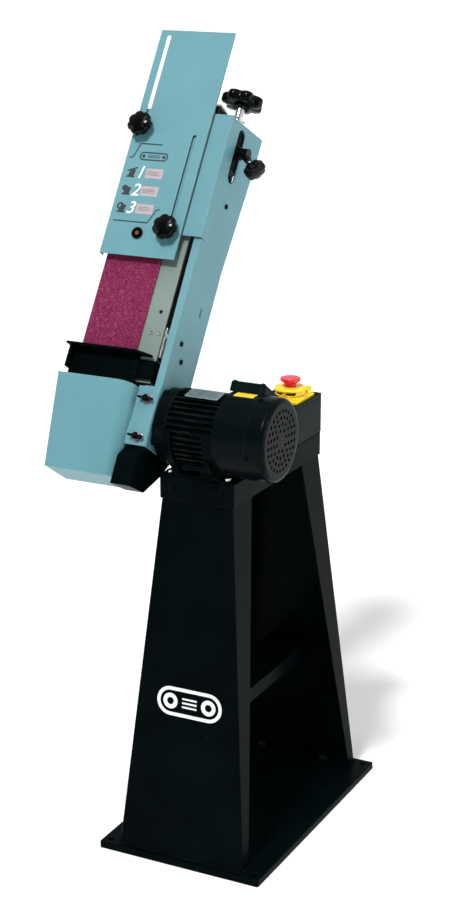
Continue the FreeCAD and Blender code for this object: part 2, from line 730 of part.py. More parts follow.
# ---------------------------------------------------------------- motor

TERM_X0 = 30.0
TERM_X1 = 90.0
TERM_N0 = -44.0
TERM_N1 = 24.0
TERM_S = 75.0
TERM_BOTTOM = 52.0
TERM_LID = 4.5
GLAND_X = 60.0
GLAND_S = 64.0


def motor_housing():
    """Finned stator frame with a plain rear barrel."""
    frame = tube_x(55, 46, FIN_X0, BARREL_X)
    barrel = tube_x(BARREL_R, 54, BARREL_X, SHIELD_X)
    wall = tube_x(55, 46, BARREL_X, SHIELD_X - 16)
    fins = []
    count = 40
    for k in range(count):
        a = math.radians(360 / count * (k + 0.5))
        fin = box(FIN_X0, BARREL_X, -1.1, 1.1, 50, FIN_R)
        fin.rotate(V(0, 0, 0), X, math.degrees(a))
        fins.append(fin)
    fins = fins[0].multiFuse(fins[1:])
    fins = fins.common(rod_x(FIN_R, FIN_X0, BARREL_X))
    rim = tube_x(FIN_R, 50, FIN_X0, FIN_X0 + 4)
    return fuse(frame, barrel, wall, fins, rim)


def drive_end_bell():
    """End shield on the drive side, with its bearing seat and four ears."""
    disc = tube_x(60, 17.5 + FIT, BELL_X + 5, FIN_X0)
    disc = disc.cut(tube_x(50, 26, BELL_X + 10, FIN_X0 + 1))
    flange = tube_x(54, 12, BELL_X, BELL_X + 5.5)
    parts = [disc, flange]
    for k in range(4):
        a = math.radians(45 + 90 * k)
        s = 52 * math.cos(a)
        n = 52 * math.sin(a)
        parts.append(rod_x(9, BELL_X, FIN_X0, s, n))
    body = fuse(*parts).cut(rod_x(12, -80, -30))
    for s, n in housing_bolt_places():
        body = body.cut(rod_x(3.2, -80, -62.3, s, n))
    return body


def rear_end_shield():
    disc = tube_x(64, 17.5 + FIT, SHIELD_X, SHIELD_X + SHIELD_T)
    seat = tube_x(24, 17.5 + FIT, SHIELD_X - 14, SHIELD_X + 2)
    web = tube_x(53.5, 12, SHIELD_X - 1, SHIELD_X + 3)
    body = fuse(disc, seat, web)
    for k in range(4):
        a = math.radians(45 + 90 * k)
        body = body.cut(cyl(2.0, h(SHIELD_X + 4, 52 * math.cos(a), 52 * math.sin(a)),
                            h(0, math.cos(a), math.sin(a)), 20))
    return body


def fan_cowl():
    """Round fan cowl with a rounded rim and rings of air holes in its end."""
    x0 = SHIELD_X + 0.2
    outer = rod_x(COWL_R, x0, COWL_END)
    outer = rounded(outer, 8.5, lambda e: e.BoundBox.XMin > COWL_END - 0.1 and len(e.Vertexes) == 1)
    inner = rod_x(COWL_R - 2.2, x0 - 1, COWL_END - 2.2)
    inner = rounded(inner, 6.5, lambda e: e.BoundBox.XMin > COWL_END - 2.3 and len(e.Vertexes) == 1)
    body = outer.cut(inner)
    holes = []
    for radius, count in ((17, 8), (27, 14), (37, 20), (47, 26)):
        for k in range(count):
            a = 2 * math.pi * k / count
            holes.append(rod_x(2.9, COWL_END - 6, COWL_END + 2, radius * math.cos(a), radius * math.sin(a)))
    body = body.cut(holes[0].multiFuse(holes[1:]))
    for k in range(4):
        a = math.radians(45 + 90 * k)
        d = h(0, math.cos(a), math.sin(a))
        body = body.cut(cyl(2.1, h(SHIELD_X + 4, 0, 0) + d * 60, d, 12))
    return body


def terminal_screw_places():
    return [(x, n) for x in (TERM_X0 + 6, TERM_X1 - 6) for n in (TERM_N0 + 6, TERM_N1 - 6)]


def terminal_box():
    """Flat box saddled on the barrel, deeper at its back wall where the gland enters."""
    body = slab(TERM_X0, TERM_X1, TERM_BOTTOM, TERM_S, TERM_N0, TERM_N1)
    body = rounded(body, 6, lambda e: along(e, S))
    body = body.cut(slab(TERM_X0 + 3, TERM_X1 - 3, 69.5, TERM_S + 1, TERM_N0 + 3, TERM_N1 - 3))
    body = body.cut(slab(GLAND_X - 12, GLAND_X + 12, 64, 70, TERM_N0 + 3, -27))
    body = body.cut(rod_x(BARREL_R + FIT, 0, 140))
    for x, n in terminal_screw_places():
        post = cyl(4, h(x, 69, n), S, TERM_S - 69)
        body = body.fuse(post).cut(cyl(2.05, h(x, TERM_S - 8, n), S, 10))
    return body.cut(cyl(6.05, h(GLAND_X, GLAND_S, TERM_N0 - 5), N, 12)).removeSplitter()


def terminal_lid():
    lid = slab(TERM_X0, TERM_X1, TERM_S, TERM_S + TERM_LID, TERM_N0, TERM_N1)
    lid = rounded(lid, 6, lambda e: along(e, S))
    lid = rounded(lid, 2, lambda e: e.BoundBox.ZMin > TERM_S + TERM_LID - 0.1)
    for x, n in terminal_screw_places():
        lid = lid.cut(cyl(2.05, h(x, TERM_S - 1, n), S, 9))
    return lid


def motor_gland():
    """Cable gland in the back wall of the terminal box."""
    at = h(GLAND_X, GLAND_S, TERM_N0)
    out = N * -1
    body = fuse(cyl(6, at - out * 6, out, 8), hex_prism(15, at, out, 4.5), cyl(6.6, at + out * 4.5, out, 8))
    return body.cut(cyl(3.6, at - out * 10, out, 30))


def stator():
    """Stator stack with its two winding heads."""
    core = tube_x(45.9, 31, -32, 30)
    heads = fuse(tube_x(44, 33, -42, -32), tube_x(44, 33, 30, 42))
    return fuse(core, heads)


def motor_bearings():
    front = tube_x(17.5, SHAFT_R + FIT, BELL_X + 6, BELL_X + 17)
    rear = tube_x(17.5, SHAFT_R + FIT, SHIELD_X - 12, SHIELD_X - 1)
    return group(front, rear)


# ---------------------------------------------------------------- rotor and drum

def rotor_shaft():
    """Motor shaft: long drive end for the drum, journals and the fan seat."""
    return fuse(rod_x(SHAFT_R, -206, SHIELD_X - 0.5), rod_x(7, SHIELD_X - 1, 120))


def rotor_core():
    return tube_x(30.4, SHAFT_R + 0.02, -30, 28)


def cooling_fan():
    hub = tube_x(14, 7.02, 106, 118)
    plate = tube_x(52, 13, 106, 108)
    blades = []
    for k in range(9):
        blade = slab(107, 117, 12, 52, -1, 1)
        blade.rotate(V(0, 0, 0), X, 40 * k)
        blades.append(blade)
    return fuse(hub, plate, *blades)


def drive_drum():
    rim = tube_x(48.4, 43, BELT_LEFT, BELT_LEFT + BELT_WIDTH)
    web = tube_x(44, 16, -184, -175)
    hub = tube_x(19, SHAFT_R + 0.02, -204, -150)
    body = fuse(rim, web, hub)
    turns = [math.pi * k / 3 for k in range(6)]
    holes = [rod_x(6, -190, -170, 31 * math.cos(a), 31 * math.sin(a)) for a in turns]
    return body.cut(holes[0].multiFuse(holes[1:]))


def drum_tyre():
    return tube_x(DRUM_R, 48.45, BELT_LEFT, BELT_LEFT + BELT_WIDTH)


def drum_bolt():
    washer = rod_x(14, -209, -206)
    head = hex_prism(13, h(-209, 0, 0), X * -1, 5.5)
    return fuse(washer, head)


# ---------------------------------------------------------------- idler and tension

CARRIAGE_S0 = 432.0
CARRIAGE_S1 = 500.0


def idler_carriage():
    """Slide block inside the channel that holds the idler's axle."""
    body = slab(-97, WEB_IN - 0.3, CARRIAGE_S0, CARRIAGE_S1, -14, 39)
    body = rounded(body, 3, lambda e: along(e, X))
    body = body.cut(rod_x(6.02, -110, -60, IDLER_S, IDLER_N))
    body = body.cut(cyl(5.3, h(ROD_X, 471, IDLER_N), S, 40))
    return body


def idler_axle():
    """Axle with its inner shoulder and the threaded end that passes the slot."""
    rod = rod_x(6, -229.5, -48, IDLER_S, IDLER_N)
    shoulder = rod_x(9, -108, -97, IDLER_S, IDLER_N)
    retainer = rod_x(8.5, -232, -229, IDLER_S, IDLER_N)
    return fuse(rod, shoulder, retainer)


def axle_nut():
    """Washer and lock nut on the axle, outside the web."""
    washer = tube_x(11.5, 6.02, -67.1, -64.6, IDLER_S, IDLER_N)
    nut = hex_prism(18, h(-64.6, IDLER_S, IDLER_N), X, 4).cut(rod_x(6.02, -80, -40, IDLER_S, IDLER_N))
    block = rod_x(9.5, -60.6, -47.5, IDLER_S, IDLER_N)
    root, d = lever_frame()
    block = block.fuse(cyl(6, root, d, 10))
    block = block.cut(rod_x(6.02, -80, -48, IDLER_S, IDLER_N)).cut(cyl(3.05, root + d * 5, d, 20))
    return group(fuse(washer, nut), block)


LEVER_DEG = 43.0


def lever_frame():
    """Root and direction of the tracking screw, out and down from the axle's end."""
    a = math.radians(LEVER_DEG)
    return h(-52, IDLER_S - 5, IDLER_N), V(math.cos(a), 0, -math.sin(a))


def tracking_knob():
    """Lobed tracking knob on its threaded stem and conical neck."""
    root, d = lever_frame()
    start = root + d * 5.5
    stem = cyl(3, start, d, 14)
    neck = Part.makeCone(4, 6.5, 7, start + d * 10, d)
    knob = lobed(18, 7, 6.5, start + d * 17, d, 17)
    return fuse(stem, neck, knob)


def idler_roller():
    rim = tube_x(IDLER_R, 34, BELT_LEFT, BELT_LEFT + BELT_WIDTH, IDLER_S, IDLER_N)
    web = tube_x(35, 16.05, -226, -214, IDLER_S, IDLER_N)
    web_in = tube_x(35, 16.05, -142, -130, IDLER_S, IDLER_N)
    return fuse(rim, web, web_in)


def idler_bearings():
    left = tube_x(16, 6 + FIT, -225, -215, IDLER_S, IDLER_N)
    right = tube_x(16, 6 + FIT, -141, -131, IDLER_S, IDLER_N)
    return group(left, right)


KNOB_S = 541.0


def tension_rod():
    """Rod from the star knob through the plate; its tip sits in the carriage."""
    rod = cyl(5, h(ROD_X, 483, IDLER_N), S, KNOB_S - 483 + 8)
    seat = PLATE_UNDER + PLATE_T + 0.1
    collar = ring(7.5, 4.9, h(ROD_X, seat, IDLER_N), S, KNOB_S - seat - 2)
    return fuse(rod, collar)


def star_knob():
    """Seven-lobed star knob, about 70 mm across."""
    knob = lobed(35, 7, 9, h(ROD_X, KNOB_S + 4, IDLER_N), S, 17)
    hub = cyl(14, h(ROD_X, KNOB_S - 2, IDLER_N), S, 7)
    return fuse(knob, hub).cut(cyl(5.02, h(ROD_X, KNOB_S - 4, IDLER_N), S, 12.1))


# ---------------------------------------------------------------- sliding cover

def slot_cut(x, s):
    """Slot that lets the cover slide down past its stud."""
    top = s + SLOT_LENGTH
    w = STUD_R + 0.6
    return fuse(cyl(w, h(x, s, COVER_N - 10), N, 20), cyl(w, h(x, top, COVER_N - 10), N, 20),
                slab(x - w, x + w, s, top, COVER_N - 10, COVER_N + 10))


def sliding_cover():
    """Sheet cover with two guide slots and shallow return flanges."""
    face = slab(COVER_X0, COVER_X1, COVER_S0, COVER_S1, COVER_N - 1.5, COVER_N)
    left = slab(COVER_X0 - 1.5, COVER_X0, COVER_S0, COVER_S1, COVER_N - 12, COVER_N)
    right = slab(COVER_X1 - 1.5, COVER_X1, COVER_S0, COVER_S1, COVER_N - 4.3, COVER_N)
    body = fuse(face, left, right)
    for x, s in (STUD_UPPER, STUD_LOWER):
        body = body.cut(slot_cut(x, s))
    return body.cut(cyl(4, h(PLUG[0], PLUG[1], COVER_N - 10), N, 20))


PLUG = (-176.0, 288.0)


def cover_plug():
    """Push-in plug with a small coloured centre recess."""
    at = h(PLUG[0], PLUG[1], COVER_N)
    body = fuse(cyl(9.5, at, N, 3), cyl(3.9, at - N * 3, N, 4))
    return body.cut(cyl(3.6, at + N * 2, N, 3))


def cover_knob(place):
    x, s = place
    at = h(x, s, COVER_N + 0.3)
    washer = ring(8, STUD_R + 0.1, at, N, 1.6)
    neck = ring(8, STUD_R + 0.1, at + N * 1.4, N, 7)
    head = lobed(20.5, 7, 7, at + N * 8, N, 15).cut(cyl(STUD_R + 0.1, at, N, 18))
    return fuse(washer, neck, head)


# ---------------------------------------------------------------- guard and work stop

def drum_guard():
    """Sheet guard over the drum: left wall, sloping front, rounded right side and flange."""
    t = 1.5
    side = [(GUARD_TOP, GUARD_TOP_N), (GUARD_BOTTOM, GUARD_BOTTOM_N), (GUARD_BOTTOM, -20), (-62, -62),
            (GUARD_TOP, -62)]
    slope = (GUARD_TOP_N - GUARD_BOTTOM_N) / (GUARD_TOP - GUARD_BOTTOM)
    inner_low = GUARD_BOTTOM_N - t * math.hypot(1, slope) + t * slope
    inner_top = inner_low + slope * (GUARD_TOP + 10 - GUARD_BOTTOM - t)
    hollow = [(GUARD_TOP + 10, inner_top), (GUARD_BOTTOM + t, inner_low), (GUARD_BOTTOM + t, -19.3),
              (-51, -70), (GUARD_TOP + 10, -70)]
    outer = corner_fillet(profile(side, GUARD_LEFT, GUARD_RIGHT), GUARD_RIGHT, 24)
    inner = corner_fillet(profile(hollow, GUARD_LEFT + t, GUARD_RIGHT - t), GUARD_RIGHT - t, 24 - t)
    shell = outer.cut(inner)
    open_side = slab(GUARD_RIGHT - t - 0.1, GUARD_RIGHT + 5, GUARD_BOTTOM - 5, GUARD_TOP + 5, -90, 55)
    shell = shell.cut(open_side)
    flange = slab(GUARD_RIGHT - t, -68.5, -54, 42, 55.3, 56.8)
    shell = fuse(shell, flange)
    for s in (WING_UPPER_S, WING_LOWER_S):
        shell = shell.cut(cyl(3.3, h(WING_X, s, 50), N, 12))
    return shell


def corner_fillet(shape, x, r):
    """Round the guard's front corner that runs down its right side at x."""
    edges = [e for e in shape.Edges if e.BoundBox.XMin > x - 0.1 and e.BoundBox.ZLength > 120
             and e.BoundBox.YMin < -70]
    return shape.makeFillet(r, edges)


def wing_screw(s):
    """Black wing screw with its bright washer, through the guard's flange."""
    at = h(WING_X, s, 56.8 + 0.3)
    washer = cyl(9, at, N, 1.6)
    hub = cyl(5.5, at + N * 1.4, N, 8)
    wings = slab(WING_X - 12, WING_X + 12, s - 1.6, s + 1.6, 60.5, 70)
    wings = wings.makeFillet(1.4, [e for e in wings.Edges if along(e, X)])
    wings = wings.cut(cyl(4.5, h(WING_X, s - 5, 72), S, 10))
    shank = cyl(2.9, at - N * 6, N, 8)
    return fuse(washer, hub, wings, shank)


def work_stop():
    """Black angle in front of the belt, its table square to the belt's face."""
    table = slab(-240, -95, STOP_TOP - 4, STOP_TOP, STOP_N0, STOP_N1)
    corner = prism([h(-116, STOP_TOP - 5, STOP_N1 + 1), h(-94, STOP_TOP - 5, STOP_N1 + 1),
                    h(-94, STOP_TOP - 5, STOP_N0 + 2)], V(0, 0, 7))
    table = table.cut(corner)
    leg = slab(-236, -116, 45, STOP_TOP - 1, STOP_N0, STOP_N0 + 4)
    for s in STOP_SCREWS:
        leg = leg.cut(cyl(2.05, h(-121, s, STOP_N0 - 1), N, 8))
    rib = slab(-236, -232, 52, STOP_TOP - 1, STOP_N0, STOP_N1 - 6)
    return fuse(table, leg, rib)


def stop_bracket():
    """Zinc slotted ear that carries the work stop on the platen's flange."""
    ear = slab(-90.7, -87.9, 52, 84, 20, STOP_N0)
    tab = slab(-126.5, -87.9, 52, 84, 54.4, STOP_N0)
    slot = fuse(rod_x(2.9, -95, -80, STOP_SCREW_S, STOP_SCREW_N - 9),
                rod_x(2.9, -95, -80, STOP_SCREW_S, STOP_SCREW_N + 3),
                slab(-95, -80, STOP_SCREW_S - 2.9, STOP_SCREW_S + 2.9, STOP_SCREW_N - 9, STOP_SCREW_N + 3))
    ear = ear.cut(slot)
    screws = [round_screw(h(x, s, STOP_N0 + 4), N, 2, 5, 3.8, 1.8) for x in (-121,) for s in STOP_SCREWS]
    return fuse(ear, tab, *screws)


# ---------------------------------------------------------------- all nodes

STAND = {
    "base_plate": base_plate,
    "front_leg_panel": lambda: leg_panel(False),
    "rear_leg_panel": lambda: leg_panel(True),
    "cross_brace": cross_brace,
    "stand_cap": stand_cap,
    "stand_bolts": stand_bolts,
    "stand_screws": stand_screws,
    "pivot_saddle": pivot_saddle,
    "clamp_jaw": clamp_jaw,
    "tilt_lock_lever": tilt_lock_lever,
    "switch_box": switch_box,
    "switch_box_lid": switch_box_lid,
    "power_gland": power_gland,
    "switch_base": switch_base,
    "stop_flap": stop_flap,
    "stop_mushroom": stop_mushroom,
    "start_button": lambda: push_button(-1),
    "stop_button": lambda: push_button(1),
}

HEAD = {
    "side_channel": side_channel,
    "upper_hood": upper_hood,
    "cover_studs": cover_studs,
    "tension_plate": tension_plate,
    "platen": platen,
    "platen_brackets": platen_brackets,
    "sanding_belt": sanding_belt,
    "drive_housing": drive_housing,
    "head_screws": head_screws,
    "motor_housing": motor_housing,
    "drive_end_bell": drive_end_bell,
    "rear_end_shield": rear_end_shield,
    "fan_cowl": fan_cowl,
    "terminal_box": terminal_box,
    "terminal_lid": terminal_lid,
    "motor_gland": motor_gland,
    "stator": stator,
    "motor_bearings": motor_bearings,
    "rotor_shaft": rotor_shaft,
    "rotor_core": rotor_core,
    "cooling_fan": cooling_fan,
    "drive_drum": drive_drum,
    "drum_tyre": drum_tyre,
    "drum_bolt": drum_bolt,
    "idler_carriage": idler_carriage,
    "idler_axle": idler_axle,
    "axle_nut": axle_nut,
    "tracking_knob": tracking_knob,
    "idler_roller": idler_roller,
    "idler_bearings": idler_bearings,
    "tension_rod": tension_rod,
    "star_knob": star_knob,
    "sliding_cover": sliding_cover,
    "cover_plug": cover_plug,
    "cover_knob_upper": lambda: cover_knob(STUD_UPPER),
    "cover_knob_lower": lambda: cover_knob(STUD_LOWER),
    "drum_guard": drum_guard,
    "wing_screw_upper": lambda: wing_screw(WING_UPPER_S),
    "wing_screw_lower": lambda: wing_screw(WING_LOWER_S),
    "work_stop": work_stop,
    "stop_bracket": stop_bracket,
}


def main():
    os.makedirs("parts", exist_ok=True)
    for name, make in STAND.items():
        make().exportStep("parts/" + name + ".step")
    for name, make in HEAD.items():
        on_head(make()).exportStep("parts/" + name + ".step")


if __name__ == "__main__":
    main()
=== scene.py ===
import json
import math

import bmesh
import bpy
from mathutils import Matrix, Vector


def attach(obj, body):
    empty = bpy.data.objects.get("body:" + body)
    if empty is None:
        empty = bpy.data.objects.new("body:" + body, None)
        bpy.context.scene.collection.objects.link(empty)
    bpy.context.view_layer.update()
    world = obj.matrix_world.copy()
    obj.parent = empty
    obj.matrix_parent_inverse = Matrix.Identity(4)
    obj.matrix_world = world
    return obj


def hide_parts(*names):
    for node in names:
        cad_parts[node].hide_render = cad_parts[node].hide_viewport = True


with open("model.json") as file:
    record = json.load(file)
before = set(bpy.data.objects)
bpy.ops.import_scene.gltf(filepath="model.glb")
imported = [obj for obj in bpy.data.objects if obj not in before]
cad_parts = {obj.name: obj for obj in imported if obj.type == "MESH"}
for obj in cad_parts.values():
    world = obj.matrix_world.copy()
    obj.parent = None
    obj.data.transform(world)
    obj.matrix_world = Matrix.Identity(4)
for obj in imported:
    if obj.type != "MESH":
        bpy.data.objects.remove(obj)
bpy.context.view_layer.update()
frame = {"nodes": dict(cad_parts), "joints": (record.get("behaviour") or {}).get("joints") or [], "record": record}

bl_info = {
    "name": "Pedestal Belt Sander",
    "version": (1, 0, 0),
    "blender": (4, 5, 0),
    "location": "View3D > Sidebar > Belt Sander",
    "description": "Dresses the packed pedestal belt sander in its finishes and fine pieces",
    "category": "Object",
}

# ---------------------------------------------------------------- the head's own axes

JOINTS = {joint["name"]: joint for joint in frame["joints"]}
PIVOT = Vector(JOINTS["head_tilt"]["pos_m"])
UP_HEAD = Vector(JOINTS["cover_slide"]["axis"])
OUT_HEAD = Vector(JOINTS["knob_upper_turn"]["axis"])
ACROSS = Vector((1, 0, 0))
TO_HEAD = Matrix((ACROSS, -OUT_HEAD, UP_HEAD)).transposed().to_4x4()
HEAD = Matrix.Translation(PIVOT) @ TO_HEAD
INTO_HEAD = HEAD.inverted()
IDLER = Vector(JOINTS["idler_spin"]["pos_m"]) - PIVOT
IDLER_S = IDLER.dot(UP_HEAD)
IDLER_N = IDLER.dot(OUT_HEAD)
SLOTS = {part["node"]: part["material_slot"] for part in frame["record"]["subparts"]}
BODY = {node: body for body, nodes in frame["record"]["behaviour"]["bodies"].items() for node in nodes}


def head_point(x, s, n):
    """World point of a place on the head: x across, s up the head, n out of the belt."""
    return PIVOT + ACROSS * x + UP_HEAD * s + OUT_HEAD * n


# ---------------------------------------------------------------- settings

class SanderStage(bpy.types.PropertyGroup):
    """Floor, lights and camera."""
    floor_size: bpy.props.FloatProperty(
        name="Floor size", description="Length of each side of the floor", default=90.0, unit="LENGTH")
    floor_colour: bpy.props.FloatVectorProperty(
        name="Floor colour", description="Colour of the plain floor", default=(0.95, 0.955, 0.96),
        subtype="COLOR")
    lens: bpy.props.FloatProperty(
        name="Lens", description="Focal length of the camera in millimetres", default=76.6, min=10.0)
    sun_strength: bpy.props.FloatProperty(
        name="Sun strength", description="Strength of the broad key light", default=2.9)
    sky_strength: bpy.props.FloatProperty(
        name="Sky strength", description="Strength of the even light from all round", default=0.68)


class SanderPaint(bpy.types.PropertyGroup):
    """Colours of the painted and moulded parts."""
    head_paint: bpy.props.FloatVectorProperty(
        name="Head paint", description="Blue-grey enamel of the head's sheets",
        default=(0.108, 0.268, 0.306), subtype="COLOR")
    # near-black with a teal tint; the tint is a painted reflection of teal surroundings on the stand's side faces,
    # and it reaches the motor enamel too
    stand_paint_with_reflection_tint: bpy.props.FloatVectorProperty(
        name="Stand paint", description="Black enamel of the stand",
        default=(0.0005, 0.0021, 0.0025), subtype="COLOR")
    belt_colour: bpy.props.FloatVectorProperty(
        name="Belt colour", description="Dark raspberry of the abrasive",
        default=(0.168, 0.0115, 0.058), subtype="COLOR")
    yellow: bpy.props.FloatVectorProperty(
        name="Switch yellow", description="Yellow of the switch housing and its flap",
        default=(0.92, 0.66, 0.005), subtype="COLOR")
    red: bpy.props.FloatVectorProperty(
        name="Stop red", description="Red of the stop mushroom",
        default=(0.72, 0.010, 0.035), subtype="COLOR")
    edge_round: bpy.props.FloatProperty(
        name="Edge rounding", description="Width of the rounding along sheet edges",
        default=0.0007, unit="LENGTH")


class SanderLabel(bpy.types.PropertyGroup):
    """Printed marks on the sliding cover."""
    line_width: bpy.props.FloatProperty(
        name="Line width", description="Width of the printed frame lines", default=0.0021,
        unit="LENGTH")
    digit_height: bpy.props.FloatProperty(
        name="Digit height", description="Height of the white row numbers", default=0.030,
        unit="LENGTH")


# ---------------------------------------------------------------- material nodes

def shade(colour, factor, lift=0.0):
    return tuple(min(1.0, c * factor + lift) for c in colour)


def new_material(name):
    material = bpy.data.materials.new(name)
    material.use_nodes = True
    tree = material.node_tree
    tree.nodes.clear()
    output = tree.nodes.new("ShaderNodeOutputMaterial")
    shader = tree.nodes.new("ShaderNodeBsdfPrincipled")
    tree.links.new(shader.outputs["BSDF"], output.inputs["Surface"])
    return material, tree, shader


def link(tree, source, target):
    tree.links.new(source, target)


def object_coordinates(tree, stretch=(1, 1, 1)):
    place = tree.nodes.new("ShaderNodeTexCoord")
    if stretch == (1, 1, 1):
        return place.outputs["Object"]
    mapping = tree.nodes.new("ShaderNodeMapping")
    mapping.inputs["Scale"].default_value = stretch
    link(tree, place.outputs["Object"], mapping.inputs["Vector"])
    return mapping.outputs["Vector"]


def noise(tree, vector, scale, detail=3.0, roughness=0.55):
    node = tree.nodes.new("ShaderNodeTexNoise")
    node.inputs["Scale"].default_value = scale
    node.inputs["Detail"].default_value = detail
    node.inputs["Roughness"].default_value = roughness
    link(tree, vector, node.inputs["Vector"])
    return node.outputs["Fac"]


def ramp(tree, value, stops):
    """Colour ramp from (position, colour) stops."""
    node = tree.nodes.new("ShaderNodeValToRGB")
    elements = node.color_ramp.elements
    while len(elements) < len(stops):
        elements.new(0.5)
    for element, (position, colour) in zip(elements, stops):
        element.position = position
        element.color = (*colour[:3], 1.0)
    link(tree, value, node.inputs["Fac"])
    return node.outputs["Color"]


def span(tree, value, low, high):
    """Map a 0 to 1 value to the span from low to high."""
    node = tree.nodes.new("ShaderNodeMapRange")
    node.inputs["To Min"].default_value = low
    node.inputs["To Max"].default_value = high
    link(tree, value, node.inputs["Value"])
    return node.outputs["Result"]


def window(tree, value, start, end):
    """0 below start, 1 above end, smooth between."""
    node = tree.nodes.new("ShaderNodeMapRange")
    node.interpolation_type = "SMOOTHSTEP"
    node.inputs["From Min"].default_value = start
    node.inputs["From Max"].default_value = end
    link(tree, value, node.inputs["Value"])
    return node.outputs["Result"]


def mix(tree, factor, first, second):
    """Mix two colours; each is a socket or a plain colour."""
    node = tree.nodes.new("ShaderNodeMix")
    node.data_type = "RGBA"
    for name, value in (("A", first), ("B", second)):
        socket = [s for s in node.inputs if s.name == name and s.type == "RGBA"][0]
        if hasattr(value, "is_linked"):
            link(tree, value, socket)
        else:
            socket.default_value = (*value[:3], 1.0)
    target = [s for s in node.inputs if s.name == "Factor" and s.type == "VALUE"][0]
    if hasattr(factor, "is_linked"):
        link(tree, factor, target)
    else:
        target.default_value = factor
    return [s for s in node.outputs if s.type == "RGBA"][0]


def arithmetic(tree, operation, first, second):
    node = tree.nodes.new("ShaderNodeMath")
    node.operation = operation
    for socket, value in zip(node.inputs, (first, second)):
        if hasattr(value, "is_linked"):
            link(tree, value, socket)
        else:
            socket.default_value = value
    return node.outputs["Value"]


def bump(tree, shader, heights):
    """Chain of bumps from (height, distance) pairs into the shader's normal."""
    normal = None
    for height, distance in heights:
        node = tree.nodes.new("ShaderNodeBump")
        node.inputs["Strength"].default_value = 1.0
        node.inputs["Distance"].default_value = distance
        link(tree, height, node.inputs["Height"])
        if normal is not None:
            link(tree, normal, node.inputs["Normal"])
        normal = node.outputs["Normal"]
    link(tree, normal, shader.inputs["Normal"])


def edge_mask(tree, radius, start=0.02, end=0.16):
    """1 where the surface turns within the radius, 0 on open faces."""
    rounded = tree.nodes.new("ShaderNodeBevel")
    rounded.samples = 4
    rounded.inputs["Radius"].default_value = radius
    surface = tree.nodes.new("ShaderNodeNewGeometry")
    dot = tree.nodes.new("ShaderNodeVectorMath")
    dot.operation = "DOT_PRODUCT"
    link(tree, rounded.outputs["Normal"], dot.inputs[0])
    link(tree, surface.outputs["Normal"], dot.inputs[1])
    turned = arithmetic(tree, "SUBTRACT", 1.0, dot.outputs["Value"])
    return window(tree, turned, start, end)


# ---------------------------------------------------------------- finishes

def enamel(name, colour, gloss, lift, edge, orange_peel=0.00004, ior=1.5):
    """Sprayed enamel: faint cloudiness, orange peel, dust specks, and lighter edges that are partly worn paint and
    partly a painted edge highlight; edge is that edge colour.
    """
    material, tree, shader = new_material(name)
    place = object_coordinates(tree)
    cloud = noise(tree, place, 9.0, 4.0)
    base = ramp(tree, cloud, [(0.3, shade(colour, 1 / lift)), (0.7, shade(colour, lift, 0.0006))])
    speck = window(tree, noise(tree, place, 620.0, 1.0), 0.70, 0.76)
    base = mix(tree, arithmetic(tree, "MULTIPLY", speck, 0.35), base, shade(colour, 1.5, 0.01))
    # lighter colour in patches along the edges: partly worn paint, partly a painted highlight on the edges
    wear_and_highlight = arithmetic(tree, "MULTIPLY", edge_mask(tree, 0.0012),
                      window(tree, noise(tree, place, 46.0, 5.0, 0.7), 0.42, 0.62))
    base = mix(tree, wear_and_highlight, base, edge)
    link(tree, base, shader.inputs["Base Color"])
    smudge = noise(tree, place, 23.0, 6.0, 0.62)
    link(tree, span(tree, smudge, gloss * 0.75, gloss * 1.35), shader.inputs["Roughness"])
    shader.inputs["IOR"].default_value = ior
    bump(tree, shader, [(noise(tree, place, 420.0, 2.0), orange_peel), (speck, 0.00003)])
    return material


def moulded(name, colour, gloss, grain=0.00003, ior=1.5):
    """Moulded plastic: fine spark-eroded grain, slight tone drift and lighter edges."""
    material, tree, shader = new_material(name)
    place = object_coordinates(tree)
    drift = noise(tree, place, 30.0, 3.0)
    base = ramp(tree, drift, [(0.3, shade(colour, 0.88)), (0.7, shade(colour, 1.1))])
    # lighter colour along all edges
    lighter_edges = arithmetic(tree, "MULTIPLY", edge_mask(tree, 0.0010), 0.35)
    base = mix(tree, lighter_edges, base, shade(colour, 1.25, 0.02))
    link(tree, base, shader.inputs["Base Color"])
    smudge = noise(tree, place, 55.0, 5.0)
    link(tree, span(tree, smudge, gloss * 0.8, gloss * 1.3), shader.inputs["Roughness"])
    shader.inputs["IOR"].default_value = ior
    bump(tree, shader, [(noise(tree, place, 1500.0, 2.0), grain)])
    return material


def worked_metal(name, colour, gloss, streak, tarnish=0.25):
    """Worked steel, zinc or aluminium: brushed or turned streaks, faint tarnish and a painted highlight along the
    edges.
    """
    material, tree, shader = new_material(name)
    lines = noise(tree, object_coordinates(tree, streak), 60.0, 4.0, 0.65)
    place = object_coordinates(tree)
    cloud = noise(tree, place, 35.0, 5.0, 0.6)
    base = ramp(tree, cloud, [(0.35, shade(colour, 1 - tarnish)), (0.65, colour)])
    base = mix(tree, arithmetic(tree, "MULTIPLY", lines, 0.25), base, shade(colour, 0.55))
    # near-white along the edges: a painted highlight
    base = mix(tree, arithmetic(tree, "MULTIPLY", edge_mask(tree, 0.0008), 0.5), base, (0.85, 0.86, 0.86))
    link(tree, base, shader.inputs["Base Color"])
    link(tree, span(tree, lines, gloss * 0.7, gloss * 1.5), shader.inputs["Roughness"])
    shader.inputs["Metallic"].default_value = 1.0
    bump(tree, shader, [(lines, 0.00003), (noise(tree, place, 300.0, 2.0), 0.00002)])
    return material


